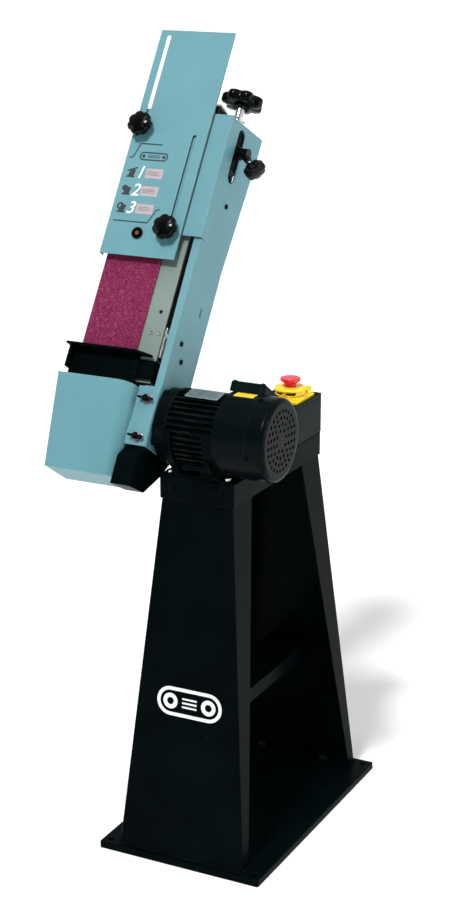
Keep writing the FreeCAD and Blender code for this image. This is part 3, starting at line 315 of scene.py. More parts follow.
def dark_backing_painted_shade(name):
    """Woven backing of the belt: dark brown cloth, darkened further as painted shade for the inside of the belt
    seen in the gap behind the platen.
    """
    material, tree, shader = new_material(name)
    place = object_coordinates(tree)
    # near-black brown: partly the cloth's own colour, partly painted shade
    base = ramp(tree, noise(tree, place, 300.0, 4.0),
                [(0.3, (0.016, 0.010, 0.008)), (0.7, (0.032, 0.021, 0.016))])
    link(tree, base, shader.inputs["Base Color"])
    shader.inputs["Roughness"].default_value = 0.9
    shader.inputs["Specular IOR Level"].default_value = 0.1
    bump(tree, shader, [(noise(tree, object_coordinates(tree, (1.0, 0.2, 0.2)), 1800.0, 2.0), 0.0001)])
    return material


def abrasive_cloth(name, colour):
    """Coated abrasive: packed grains, darker loaded streaks and sparkle."""
    material, tree, shader = new_material(name)
    place = object_coordinates(tree)
    grains = tree.nodes.new("ShaderNodeTexVoronoi")
    grains.inputs["Scale"].default_value = 950.0
    link(tree, place, grains.inputs["Vector"])
    tone = noise(tree, place, 700.0, 2.0, 0.7)
    base = ramp(tree, tone, [(0.30, shade(colour, 0.35)), (0.5, colour), (0.72, shade(colour, 2.0, 0.015))])
    clump = noise(tree, place, 330.0, 3.0, 0.65)
    base = mix(tree, arithmetic(tree, "MULTIPLY", window(tree, clump, 0.50, 0.64), 0.55), base,
               shade(colour, 0.5))
    sparkle = window(tree, grains.outputs["Color"], 0.80, 0.92)
    base = mix(tree, arithmetic(tree, "MULTIPLY", sparkle, 0.45), base, (0.62, 0.30, 0.36))
    wide = noise(tree, object_coordinates(tree, (1.0, 0.08, 0.08)), 70.0, 3.0)
    base = mix(tree, arithmetic(tree, "MULTIPLY", window(tree, wide, 0.52, 0.75), 0.45), base,
               shade(colour, 0.45))
    link(tree, base, shader.inputs["Base Color"])
    link(tree, span(tree, tone, 0.6, 0.95), shader.inputs["Roughness"])
    shader.inputs["Specular IOR Level"].default_value = 0.12
    bump(tree, shader, [(grains.outputs["Distance"], 0.00035), (tone, 0.0002)])
    return material


def rubber(name):
    material, tree, shader = new_material(name)
    place = object_coordinates(tree)
    base = ramp(tree, noise(tree, place, 60.0, 5.0),
                [(0.3, (0.010, 0.010, 0.010)), (0.7, (0.035, 0.034, 0.032))])
    link(tree, base, shader.inputs["Base Color"])
    link(tree, span(tree, noise(tree, place, 25.0), 0.6, 0.85), shader.inputs["Roughness"])
    bump(tree, shader, [(noise(tree, place, 800.0, 3.0), 0.00008)])
    return material


def print_ink(name, colour, gloss=0.42):
    """Screen-printed ink with a slightly broken, uneven film."""
    material, tree, shader = new_material(name)
    place = object_coordinates(tree)
    base = ramp(tree, noise(tree, place, 260.0, 4.0), [(0.3, shade(colour, 0.8)), (0.65, colour)])
    link(tree, base, shader.inputs["Base Color"])
    link(tree, span(tree, noise(tree, place, 90.0), gloss * 0.8, gloss * 1.2), shader.inputs["Roughness"])
    bump(tree, shader, [(noise(tree, place, 700.0, 2.0), 0.00002)])
    return material


def floor_finish(name, colour):
    material, tree, shader = new_material(name)
    base = ramp(tree, noise(tree, object_coordinates(tree), 0.6, 2.0),
                [(0.3, shade(colour, 0.985)), (0.7, colour)])
    link(tree, base, shader.inputs["Base Color"])
    shader.inputs["Roughness"].default_value = 0.75
    shader.inputs["Specular IOR Level"].default_value = 0.0
    return material


def finishes(paint):
    """All finishes by the record's slot names."""
    # the stand's near-black carries its teal tint, a painted reflection, into the stand and motor enamels
    black = tuple(paint.stand_paint_with_reflection_tint)
    return {
        # each enamel's fifth value is its edge colour: partly worn paint, partly a painted edge highlight
        "black_paint": enamel("Stand black enamel", black, 0.30, 1.3, (0.020, 0.026, 0.028), 0.00003, 1.07),
        "motor_paint": enamel("Motor black enamel", tuple(c * 1.1 for c in black), 0.26, 1.3,
                              (0.030, 0.034, 0.036), 0.00006, 1.12),
        "blue_grey_paint": enamel("Head blue-grey enamel", tuple(paint.head_paint), 0.40, 1.06,
                                  (0.42, 0.60, 0.62), 0.00003, 1.36),
        "bare_steel": worked_metal("Turned steel", (0.46, 0.47, 0.48), 0.26, (9.0, 1.0, 1.0)),
        "zinc": worked_metal("Bright zinc", (0.78, 0.79, 0.78), 0.20, (1.0, 1.0, 1.0), 0.12),
        "platen_grey": enamel("Dull platen grey", (0.160, 0.210, 0.190), 0.55, 1.12,
                              (0.40, 0.44, 0.42), 0.00003, 1.35),
        "black_plastic": moulded("Black phenolic", (0.0010, 0.0012, 0.0014), 0.16, 0.000008, 1.22),
        "green_black_plastic": moulded("Green-black moulding", (0.0014, 0.0072, 0.0070), 0.34, 0.00004, 1.10),
        "yellow_plastic": moulded("Switch yellow", tuple(paint.yellow), 0.30),
        "red_plastic": moulded("Stop red", tuple(paint.red), 0.24, 0.00001),
        "green_plastic": moulded("Start green", (0.015, 0.30, 0.07), 0.28, 0.00001),
        "cast_aluminium": worked_metal("Turned aluminium", (0.66, 0.67, 0.68), 0.30, (14.0, 1.0, 1.0), 0.18),
        "abrasive": abrasive_cloth("Raspberry abrasive", tuple(paint.belt_colour)),
        "rubber": rubber("Black rubber"),
        "lamination": worked_metal("Stator stack", (0.32, 0.31, 0.30), 0.45, (60.0, 1.0, 1.0), 0.35),
        "nylon": moulded("Black nylon", (0.010, 0.010, 0.011), 0.42, 0.00004),
    }


FINISH = {}


# ---------------------------------------------------------------- mesh helpers

def add_object(name, mesh, finish):
    obj = bpy.data.objects.new(name, mesh)
    bpy.context.scene.collection.objects.link(obj)
    obj.data.materials.clear()
    obj.data.materials.append(finish)
    return obj


def mesh_from(bm, name):
    bmesh.ops.remove_doubles(bm, verts=bm.verts, dist=1e-6)
    bmesh.ops.recalc_face_normals(bm, faces=bm.faces)
    mesh = bpy.data.meshes.new(name)
    bm.to_mesh(mesh)
    bm.free()
    return mesh


def smooth(obj, degrees=35):
    obj.data.shade_smooth()
    obj.data.set_sharp_from_angle(angle=math.radians(degrees))


def bake_modifiers(obj):
    """Apply the object's modifiers through its evaluated mesh."""
    graph = bpy.context.evaluated_depsgraph_get()
    mesh = bpy.data.meshes.new_from_object(obj.evaluated_get(graph))
    obj.modifiers.clear()
    obj.data = mesh


def softened(node, width, segments=2, degrees=35):
    """Copy of a CAD node with its sharp edges rounded, to stand in its place."""
    source = frame["nodes"][node]
    bm = bmesh.new()
    bm.from_mesh(source.data)
    bmesh.ops.remove_doubles(bm, verts=bm.verts, dist=2e-6)
    bmesh.ops.dissolve_limit(bm, angle_limit=math.radians(0.6), verts=bm.verts, edges=bm.edges)
    mesh = bpy.data.meshes.new(node + "_soft")
    bm.to_mesh(mesh)
    bm.free()
    slot = SLOTS[node]
    obj = add_object(node + "_soft", mesh, FINISH[slot])
    bevel = obj.modifiers.new("Edge rounding", "BEVEL")
    bevel.width = width
    bevel.segments = segments
    bevel.limit_method = "ANGLE"
    bevel.angle_limit = math.radians(degrees)
    bevel.use_clamp_overlap = False
    bake_modifiers(obj)
    smooth(obj, 34)
    flat = obj.modifiers.new("Flat faces stay flat", "WEIGHTED_NORMAL")
    flat.keep_sharp = True
    flat.weight = 90
    bake_modifiers(obj)
    obj.data.materials.clear()
    obj.data.materials.append(FINISH[slot])
    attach(obj, BODY[node])
    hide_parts(node)
    return obj


def loose_parts(node):
    """Meshes of the separate solids of a CAD node."""
    bm = bmesh.new()
    bm.from_mesh(frame["nodes"][node].data)
    bmesh.ops.remove_doubles(bm, verts=bm.verts, dist=2e-6)
    seen = set()
    meshes = []
    for first in bm.verts:
        if first in seen:
            continue
        found = [first]
        seen.add(first)
        for vert in found:
            for edge in vert.link_edges:
                other = edge.other_vert(vert)
                if other not in seen:
                    seen.add(other)
                    found.append(other)
        solid = bmesh.new()
        copies = {vert: solid.verts.new(vert.co) for vert in found}
        for face in bm.faces:
            if face.verts[0] in copies:
                solid.faces.new([copies[vert] for vert in face.verts])
        mesh = bpy.data.meshes.new(node + "_part")
        solid.to_mesh(mesh)
        solid.free()
        meshes.append(mesh)
    bm.free()
    return meshes


def split_finish(node, choose):
    """Show a node's solids in different finishes: choose(middle point) names the slot."""
    groups = {}
    for mesh in loose_parts(node):
        middle = sum((vert.co for vert in mesh.vertices), Vector()) / len(mesh.vertices)
        groups.setdefault(choose(INTO_HEAD @ middle), []).append(mesh)
    for slot, meshes in groups.items():
        obj = add_object(f"{node}_{slot}", joined(node, meshes), FINISH[slot])
        smooth(obj, 30)
        finish_piece(obj, BODY[node])
        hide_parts(node)


def dress(node):
    """Give a carried-over CAD node its finish."""
    obj = frame["nodes"][node]
    obj.data.materials.clear()
    obj.data.materials.append(FINISH[SLOTS[node]])


def finish_piece(obj, body):
    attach(obj, body)
    return obj


def prism(name, outline, matrix, low, high):
    """Closed plate from a 2-D outline, between two heights of the matrix's z axis."""
    bm = bmesh.new()
    bottom = [bm.verts.new(matrix @ Vector((u, v, low))) for u, v in outline]
    top = [bm.verts.new(matrix @ Vector((u, v, high))) for u, v in outline]
    bm.faces.new(bottom[::-1])
    bm.faces.new(top)
    for k in range(len(outline)):
        j = (k + 1) % len(outline)
        bm.faces.new((bottom[k], bottom[j], top[j], top[k]))
    return mesh_from(bm, name)


def joined(name, meshes):
    """One mesh from several."""
    bm = bmesh.new()
    for mesh in meshes:
        bm.from_mesh(mesh)
        bpy.data.meshes.remove(mesh)
    mesh = bpy.data.meshes.new(name)
    bm.to_mesh(mesh)
    bm.free()
    return mesh


def bar(start, end, width):
    """Outline of a straight printed line with square ends."""
    along = Vector(end) - Vector(start)
    side = Vector((-along.y, along.x)).normalized() * (width / 2)
    first, second = Vector(start), Vector(end)
    return [tuple(first - side), tuple(second - side), tuple(second + side), tuple(first + side)]


def ring_outline(centre, radius, count=32):
    return [(centre[0] + radius * math.cos(2 * math.pi * k / count),
             centre[1] + radius * math.sin(2 * math.pi * k / count)) for k in range(count)]


def rounded_outline(x0, x1, y0, y1, r, steps=6):
    points = []
    corners = ((x1 - r, y1 - r, 0), (x0 + r, y1 - r, 90), (x0 + r, y0 + r, 180), (x1 - r, y0 + r, 270))
    for cx, cy, start in corners:
        for k in range(steps + 1):
            a = math.radians(start + 90 * k / steps)
            points.append((cx + r * math.cos(a), cy + r * math.sin(a)))
    return points


def turned(name, outline, matrix, count=64, lobes=0, sharpness=1.0, phase=0.0):
    """Turned solid from (radius, height, lobe depth) points; both ends close on the axis."""
    bm = bmesh.new()
    rings = []
    for radius, height, depth in outline:
        if radius < 1e-7:
            rings.append([bm.verts.new(matrix @ Vector((0, 0, height)))])
            continue
        ring = []
        for k in range(count):
            a = 2 * math.pi * k / count
            dip = (0.5 - 0.5 * math.cos(lobes * a + phase)) ** sharpness
            r = radius - depth * dip
            ring.append(bm.verts.new(matrix @ Vector((r * math.cos(a), r * math.sin(a), height))))
        rings.append(ring)
    for low, high in zip(rings, rings[1:]):
        for k in range(count):
            j = (k + 1) % count
            if len(low) == 1 and len(high) > 1:
                bm.faces.new((low[0], high[k], high[j]))
            elif len(high) == 1 and len(low) > 1:
                bm.faces.new((low[k], low[j], high[0]))
            elif len(low) > 1:
                bm.faces.new((low[k], low[j], high[j], high[k]))
    return mesh_from(bm, name)


def frame_on(origin, axis, side=(1, 0, 0)):
    """Matrix whose z runs along the axis from the origin."""
    z = Vector(axis).normalized()
    x = (Vector(side) - z * Vector(side).dot(z)).normalized()
    y = z.cross(x)
    return Matrix.Translation(origin) @ Matrix((x, y, z)).transposed().to_4x4()


def curve_mesh(curve):
    """Plain mesh of a curve or text."""
    holder = bpy.data.objects.new(curve.name, curve)
    bpy.context.scene.collection.objects.link(holder)
    graph = bpy.context.evaluated_depsgraph_get()
    mesh = bpy.data.meshes.new_from_object(holder.evaluated_get(graph))
    bpy.data.objects.remove(holder)
    return mesh


def coil(name, matrix, radius, wire, height, turns):
    """Wound spring wire as a tube along a helix."""
    curve = bpy.data.curves.new(name, "CURVE")
    curve.dimensions = "3D"
    curve.bevel_depth = wire
    curve.bevel_resolution = 3
    curve.use_fill_caps = True
    steps = int(turns * 20)
    spline = curve.splines.new("POLY")
    spline.points.add(steps)
    for k in range(steps + 1):
        a = 2 * math.pi * turns * k / steps
        z = height * k / steps
        point = matrix @ Vector((radius * math.cos(a), radius * math.sin(a), z))
        spline.points[k].co = (*point, 1.0)
    return curve_mesh(curve)


def lettering(name, text, height, matrix, low, high):
    """Printed character as a thin closed solid."""
    curve = bpy.data.curves.new(name, "FONT")
    curve.body = text
    curve.size = height / 0.72
    curve.align_x = "CENTER"
    curve.align_y = "CENTER"
    curve.offset = height * 0.012
    curve.extrude = (high - low) / 2
    mesh = curve_mesh(curve)
    mesh.transform(matrix @ Matrix.Translation((0, 0, (low + high) / 2)))
    return mesh


# ---------------------------------------------------------------- repeating pieces

def piece_group(name, settings):
    """Empty geometry node group, with the identifier of each named setting."""
    group = bpy.data.node_groups.new(name, "GeometryNodeTree")
    sockets = group.interface
    sockets.new_socket("Geometry", in_out="INPUT", socket_type="NodeSocketGeometry")
    ids = {label: sockets.new_socket(label, in_out="INPUT", socket_type=kind).identifier
           for label, kind in settings}
    sockets.new_socket("Geometry", in_out="OUTPUT", socket_type="NodeSocketGeometry")
    return group, ids


def paint_instances(group, start, to_points):
    """Turn the instances into mesh, give them the group's material and send them out."""
    realize = group.nodes.new("GeometryNodeRealizeInstances")
    paint = group.nodes.new("GeometryNodeSetMaterial")
    end = group.nodes.new("NodeGroupOutput")
    wire = group.links.new
    wire(to_points.outputs["Instances"], realize.inputs["Geometry"])
    wire(realize.outputs["Geometry"], paint.inputs["Geometry"])
    wire(start.outputs["Material"], paint.inputs["Material"])
    wire(paint.outputs["Geometry"], end.inputs["Geometry"])


def bead_group():
    """Geometry nodes: a row of overlapping weld ripples along the object's edges."""
    group, ids = piece_group("Weld ripples", (("Spacing", "NodeSocketFloat"), ("Radius", "NodeSocketFloat"),
                                              ("Material", "NodeSocketMaterial"), ("Seed", "NodeSocketInt")))
    nodes = group.nodes
    start = nodes.new("NodeGroupInput")
    to_curve = nodes.new("GeometryNodeMeshToCurve")
    resample = nodes.new("GeometryNodeResampleCurve")
    resample.mode = "LENGTH"
    to_points = nodes.new("GeometryNodeInstanceOnPoints")
    ball = nodes.new("GeometryNodeMeshIcoSphere")
    ball.inputs["Subdivisions"].default_value = 2
    size = nodes.new("FunctionNodeRandomValue")
    size.data_type = "FLOAT"
    size.inputs[2].default_value = 0.85
    size.inputs[3].default_value = 1.2
    wire = group.links.new
    wire(start.outputs["Geometry"], to_curve.inputs["Mesh"])
    wire(to_curve.outputs["Curve"], resample.inputs["Curve"])
    wire(start.outputs["Spacing"], resample.inputs["Length"])
    wire(resample.outputs["Curve"], to_points.inputs["Points"])
    wire(start.outputs["Radius"], ball.inputs["Radius"])
    wire(ball.outputs["Mesh"], to_points.inputs["Instance"])
    wire(start.outputs["Seed"], size.inputs["Seed"])
    wire(size.outputs[1], to_points.inputs["Scale"])
    paint_instances(group, start, to_points)
    return group, ids


def rivet_group():
    """Geometry nodes: a low round rivet head on every vertex, standing along its normal."""
    group, ids = piece_group("Rivet heads", (("Radius", "NodeSocketFloat"), ("Tilt", "NodeSocketRotation"),
                                             ("Material", "NodeSocketMaterial")))
    nodes = group.nodes
    start = nodes.new("NodeGroupInput")
    to_points = nodes.new("GeometryNodeInstanceOnPoints")
    ball = nodes.new("GeometryNodeMeshUVSphere")
    ball.inputs["Segments"].default_value = 20
    ball.inputs["Rings"].default_value = 10
    flat = nodes.new("GeometryNodeTransform")
    flat.inputs["Scale"].default_value = (1.0, 1.0, 0.5)
    wire = group.links.new
    wire(start.outputs["Geometry"], to_points.inputs["Points"])
    wire(start.outputs["Radius"], ball.inputs["Radius"])
    wire(ball.outputs["Mesh"], flat.inputs["Geometry"])
    wire(flat.outputs["Geometry"], to_points.inputs["Instance"])
    wire(start.outputs["Tilt"], to_points.inputs["Rotation"])
    paint_instances(group, start, to_points)
    return group, ids


def grown(name, points, edges, group, values, body, finish):
    """Piece made by a node group from a few vertices, turned into plain mesh."""
    mesh = bpy.data.meshes.new(name)
    mesh.from_pydata([tuple(p) for p in points], edges, [])
    obj = add_object(name, mesh, finish)
    modifier = obj.modifiers.new("Pieces", "NODES")
    modifier.node_group = group
    for identifier, value in values.items():
        modifier[identifier] = value
    bake_modifiers(obj)
    obj.data.materials.clear()
    obj.data.materials.append(finish)
    smooth(obj, 60)
    return finish_piece(obj, body)


# ---------------------------------------------------------------- stand

SOFT_STAND = {
    "base_plate": 0.0012, "front_leg_panel": 0.0008, "rear_leg_panel": 0.0008, "cross_brace": 0.0006,
    "switch_box": 0.0006, "switch_box_lid": 0.0007, "switch_base": 0.0009, "stop_flap": 0.0009,
    "pivot_saddle": 0.0006, "clamp_jaw": 0.0006, "stop_mushroom": 0.0006, "start_button": 0.0006,
    "stop_button": 0.0006,
}
SOFT_HEAD = {
    "side_channel": 0.0007, "upper_hood": 0.0007, "sliding_cover": 0.0006, "drum_guard": 0.0005,
    "drive_housing": 0.0009, "platen": 0.0006, "platen_brackets": 0.0005,
    "work_stop": 0.0006, "stop_bracket": 0.0004, "terminal_box": 0.0006, "terminal_lid": 0.0007,
    "idler_carriage": 0.0006, "fan_cowl": 0.0004,
}


def weld_lines():
    """Seams along the legs' feet and the brace's ends."""
    lines = [[(-0.1095, -0.2262, 0.0128), (0.1095, -0.2262, 0.0128)],
             [(0.1095, 0.2262, 0.0128), (-0.1095, 0.2262, 0.0128)]]
    low, high = (0.0383, 0.2020, 0.2222), (0.0383, 0.1994, 0.2450)
    for side in (-1, 1):
        for end in (-1, 1):
            lines.append([(side * 0.1128, end * 0.223, 0.0128), (side * 0.1128, end * 0.206, 0.0128)])
            lines.append([(side * low[0], end * low[1], low[2]), (side * high[0], end * high[1], high[2])])
    return lines


def build_stand():
    for node, width in SOFT_STAND.items():
        softened(node, width)
    for node in ("stand_cap", "stand_bolts", "stand_screws", "power_gland", "tilt_lock_lever"):
        dress(node)
    group, ids = bead_group()
    for count, line in enumerate(weld_lines()):
        values = {ids["Spacing"]: 0.0016, ids["Radius"]: 0.0021, ids["Material"]: FINISH["black_paint"],
                  ids["Seed"]: 4 + count}
        grown(f"weld_seam_{count + 1}", line, [(0, 1)], group, values, "stand",
              FINISH["black_paint"])
    leg_mark()


def leg_mark():
    """Plain white mark on the front leg: a belt loop round two rollers."""
    foot = Vector((0.004, -0.226, 0.012))
    neck = Vector((0.004, -0.1619, 0.600))
    up = (neck - foot).normalized()
    matrix = frame_on(foot + up * 0.262, ACROSS.cross(up))
    ink = print_ink("White print", (0.82, 0.83, 0.84))
    half, r, w = 0.034, 0.024, 0.0058
    meshes = [ribbon("mark_loop", loop_outline(half, r), loop_outline(half, r - w), matrix, 0.00005, 0.00016)]
    for x in (-half, half):
        outer, inner = ring_outline((x, 0), r - 1.9 * w), ring_outline((x, 0), r - 3.1 * w)
        meshes.append(ribbon("mark_roller", outer, inner, matrix, 0.00005, 0.00016))
    for k in range(3):
        y = 0.0068 - 0.0068 * k
        meshes.append(prism("mark_line", bar((-0.013, y), (0.013, y), 0.0030), matrix, 0.00005, 0.00016))
    finish_piece(add_object("leg_mark", joined("leg_mark", meshes), ink), "stand")


def loop_outline(half, r, steps=20):
    right = [(half + r * math.sin(math.pi * k / steps), r * math.cos(math.pi * k / steps))
             for k in range(steps + 1)]
    left = [(-x, -y) for x, y in right]
    return right + left


def ribbon(name, outer, inner, matrix, low, high):
    """Closed flat band between two outlines with the same number of points."""
    bm = bmesh.new()
    loops = [[bm.verts.new(matrix @ Vector((u, v, z))) for u, v in outline]
             for z in (low, high) for outline in (outer, inner)]
    outer_low, inner_low, outer_high, inner_high = loops
    for k in range(len(outer)):
        j = (k + 1) % len(outer)
        bm.faces.new((outer_high[k], outer_high[j], inner_high[j], inner_high[k]))
        bm.faces.new((outer_low[j], outer_low[k], inner_low[k], inner_low[j]))
        bm.faces.new((outer_low[k], outer_low[j], outer_high[j], outer_high[k]))
        bm.faces.new((inner_low[j], inner_low[k], inner_high[k], inner_high[j]))
    return mesh_from(bm, name)


# ---------------------------------------------------------------- knobs

def lobed_head(name, origin, axis, radius, height, depth, dome, body, node, neck=None):
    """Glossy knob with seven lobes that stands for its CAD node."""
    matrix = frame_on(origin, axis)
    edge = height * 0.20
    outline = [(0.0, 0.0, 0.0)]
    if neck:
        outline += [(neck[0], 0.0, 0.0), (neck[1], neck[2], 0.0)]
    low = neck[2] if neck else 0.0
    outline += [(radius * 0.80, low, depth * 0.5), (radius * 0.95, low + edge * 0.35, depth),
                (radius, low + edge, depth), (radius, low + height - edge * 1.2, depth),
                (radius * 0.975, low + height - edge * 0.45, depth),
                (radius * 0.90, low + height, depth * 0.9),
                (radius * 0.70, low + height + dome * 0.45, depth * 0.45),
                (radius * 0.45, low + height + dome * 0.80, 0.0), (radius * 0.2, low + height + dome, 0.0),
                (0.0, low + height + dome, 0.0)]
    obj = add_object(name, turned(name, outline, matrix, 126, 7, 2.4), FINISH["black_plastic"])
    smooth(obj, 50)
    finish_piece(obj, body)
    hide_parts(node)


def plain_turned(name, matrix, outline, body, slot, degrees=35, count=48):
    points = [(0.0, outline[0][1], 0.0)] + [(r, z, 0.0) for r, z in outline] + [(0.0, outline[-1][1], 0.0)]
    obj = add_object(name, turned(name, points, matrix, count), FINISH[slot])
    smooth(obj, degrees)
    return finish_piece(obj, body)


def build_knobs():
    for label in ("upper", "lower"):
        stud = Vector(JOINTS[f"knob_{label}_turn"]["pos_m"])
        matrix = frame_on(stud + OUT_HEAD * 0.0003, OUT_HEAD)
        washer = [(0.0088, 0.0), (0.0090, 0.0003), (0.0090, 0.0013), (0.0087, 0.0016)]
        plain_turned(f"cover_washer_{label}", matrix, washer, f"knob_{label}", "zinc")
        lobed_head(f"cover_knob_{label}_shaped", stud + OUT_HEAD * 0.0019, OUT_HEAD, 0.0205, 0.0125, 0.0021,
                   0.0030, f"knob_{label}", f"cover_knob_{label}", (0.0085, 0.0078, 0.0068))
    build_star_knob()
    build_tracking_knob()


def build_star_knob():
    """Seven-lobed star knob on the tension rod, with a recessed hub."""
    origin = head_point(-0.084, 0.541, 0.0125)
    matrix = frame_on(origin, UP_HEAD)
    outline = [(0.0, 0.000, 0.0), (0.0135, 0.0, 0.0), (0.0135, 0.0045, 0.0), (0.026, 0.0050, 0.003),
               (0.0335, 0.0060, 0.0062), (0.0350, 0.0080, 0.0070), (0.0350, 0.0165, 0.0070),
               (0.0338, 0.0196, 0.0066), (0.0305, 0.0212, 0.0050), (0.0235, 0.0216, 0.0015),
               (0.0165, 0.0200, 0.0), (0.0125, 0.0202, 0.0), (0.0100, 0.0222, 0.0), (0.0, 0.0226, 0.0)]
    obj = add_object("star_knob_shaped", turned("star_knob_shaped", outline, matrix, 140, 7, 1.5),
                     FINISH["black_plastic"])
    smooth(obj, 50)
    finish_piece(obj, "tension")
    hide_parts("star_knob")


def build_tracking_knob():
    root = Vector(JOINTS["tracking_turn"]["pos_m"])
    axis = Vector(JOINTS["tracking_turn"]["axis"])
    matrix = frame_on(root + axis * 0.0055, axis)
    plain_turned("tracking_stem", matrix, [(0.0029, 0.0), (0.0029, 0.0105)], "tracking", "zinc")
    plain_turned("tracking_neck", matrix, [(0.0040, 0.0100), (0.0052, 0.0125), (0.0066, 0.0172)], "tracking",
                 "black_plastic")
    lobed_head("tracking_knob_shaped", root + axis * 0.0225, axis, 0.0180, 0.0145, 0.0020, 0.0034,
               "tracking", "tracking_knob")
    slot = Vector(JOINTS["idler_spin"]["pos_m"])
    slot.x = head_point(-0.060, 0, 0).x
    around = frame_on(slot + Vector((-0.0042, 0, 0)), ACROSS)
    obj = add_object("axle_spring", coil("axle_spring", around, 0.0082, 0.0007, 0.0036, 2.5), FINISH["zinc"])
    smooth(obj, 60)
    finish_piece(obj, "carriage")


# ---------------------------------------------------------------- head

def build_head():
    for node, width in SOFT_HEAD.items():
        softened(node, width)
    for node in ("cover_studs", "motor_housing", "drive_end_bell", "rear_end_shield", "motor_gland", "stator",
                 "motor_bearings", "rotor_shaft", "rotor_core", "cooling_fan", "drive_drum", "drum_tyre",
                 "drum_bolt", "idler_axle", "idler_roller", "idler_bearings", "tension_rod", "cover_plug"):
        dress(node)
    split_finish("head_screws", lambda p: "zinc" if p.y < -0.045 and p.x < -0.09 else "black_paint")
    split_finish("axle_nut", lambda p: "zinc" if p.x < -0.060 else "black_plastic")
    for node in ("wing_screw_upper", "wing_screw_lower"):
        washer_finish(node)
    # solids left of x -0.1145 take black rubber: painted shade for the dark gap under the tension plate
    split_finish("tension_plate", lambda p: "rubber" if p.x < -0.1145 else "zinc")
    build_belt()
    build_shadow_strip()
    build_motor_plate()
    build_plug_centre()


WASHER_TOP = 0.0588


def washer_finish(node):
    """Bright washer under a black wing screw, on the guard's flange."""
    obj = softened(node, 0.0003)
    obj.data.materials.append(FINISH["zinc"])
    for face in obj.data.polygons:
        if -(INTO_HEAD @ face.center).y < WASHER_TOP:
            face.material_index = 1


def build_belt():
    """The belt loop with its grit outside and its cloth backing inside, the backing darkened as painted shade."""
    bm = bmesh.new()
    bm.from_mesh(frame["nodes"]["sanding_belt"].data)
    bmesh.ops.remove_doubles(bm, verts=bm.verts, dist=2e-6)
    bm.normal_update()
    bm.faces.index_update()
    inner = []
    for face in bm.faces:
        middle = INTO_HEAD @ face.calc_center_median()
        normal = INTO_HEAD.to_3x3() @ face.normal
        reach = min(max(middle.z, 0.0), IDLER_S)
        outward = Vector((0.0, middle.y + IDLER_N * reach / IDLER_S, middle.z - reach))
        face.smooth = True
        if normal.dot(outward) < -1e-4:
            inner.append(face.index)
    mesh = bpy.data.meshes.new("belt_shown")
    bm.to_mesh(mesh)
    bm.free()
    obj = add_object("belt_shown", mesh, FINISH["abrasive"])
    obj.data.materials.append(dark_backing_painted_shade("Belt backing painted dark for shade"))
    for k in inner:
        obj.data.polygons[k].material_index = 1
    obj.data.set_sharp_from_angle(angle=math.radians(40))
    finish_piece(obj, "head")
    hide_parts("sanding_belt")


def build_shadow_strip():
    """Black strip on the hood along the sliding cover's right edge: a painted shadow for the dark gap under the
    cover's edge, shaped as a felt wiper.
    """
    bm = bmesh.new()
    corners = [(x, s, n) for s in (0.2945, 0.5055) for x, n in ((-0.1002, 0.06325), (-0.0985, 0.06325),
                                                                (-0.0985, 0.0645), (-0.1002, 0.0645))]
    verts = [bm.verts.new(head_point(*corner)) for corner in corners]
    for k in range(4):
        j = (k + 1) % 4
        bm.faces.new((verts[k], verts[j], verts[j + 4], verts[k + 4]))
    bm.faces.new(verts[3::-1])
    bm.faces.new(verts[4:])
    # black rubber finish paints the shadow in the gap
    obj = add_object("cover_shadow_strip", mesh_from(bm, "cover_shadow_strip"), FINISH["rubber"])
    finish_piece(obj, "head")


PLATE_MID_X = 0.003
PLATE_HALF = (0.029, 0.014)
PLATE_THICK = 0.0008
TAG_X = (0.052, 0.086)
TAG_HALF = 0.009


def round_motor(degrees):
    """Direction out of the motor's round, from straight up the head towards the operator."""
    a = math.radians(degrees)
    return (UP_HEAD * math.cos(a) + OUT_HEAD * math.sin(a)).normalized()


def build_motor_plate():
    """Plain silver plate with rivets and blank fields, and a yellow tag, on the motor."""
    normal = round_motor(44.0)
    matrix = frame_on(PIVOT + ACROSS * PLATE_MID_X + normal * 0.0624, normal)
    half_x, half_y = PLATE_HALF
    outline = rounded_outline(-half_x, half_x, -half_y, half_y, 0.002)
    blank = prism("rating_plate", outline, matrix, 0.0, PLATE_THICK)
    plate = add_object("rating_plate", blank, etched_plate())
    smooth(plate, 40)
    finish_piece(plate, "head")
    group, ids = rivet_group()
    width, height = half_x - 0.003, half_y - 0.003
    points = [matrix @ Vector((u, v, PLATE_THICK)) for u in (-width, width) for v in (-height, height)]
    values = {ids["Radius"]: 0.0013, ids["Tilt"]: matrix.to_euler(), ids["Material"]: FINISH["zinc"]}
    grown("plate_rivets", points, [], group, values, "head", FINISH["zinc"])
    etched_lines(matrix, width)
    tag = add_object("yellow_tag", curved_tag("yellow_tag", TAG_X, 0.0667, math.radians(36.0), TAG_HALF),
                     print_ink("Yellow tag", (0.86, 0.60, 0.02), 0.35))
    smooth(tag, 40)
    finish_piece(tag, "head")


def etched_lines(matrix, half_width):
    """Empty data fields etched on the plate."""
    rows = [0.0085 - 0.0056 * k for k in range(4)]
    end = half_width - 0.004
    meshes = [prism("line", bar((-end, y), (end, y), 0.0005), matrix, PLATE_THICK, 0.00086) for y in rows]
    for x in (-0.006, 0.010):
        upright = bar((x, -0.0083), (x, 0.0085), 0.0005)
        meshes.append(prism("line", upright, matrix, PLATE_THICK, 0.00087))
    ink = print_ink("Plate lines", (0.05, 0.05, 0.055))
    finish_piece(add_object("plate_fields", joined("plate_fields", meshes), ink), "head")


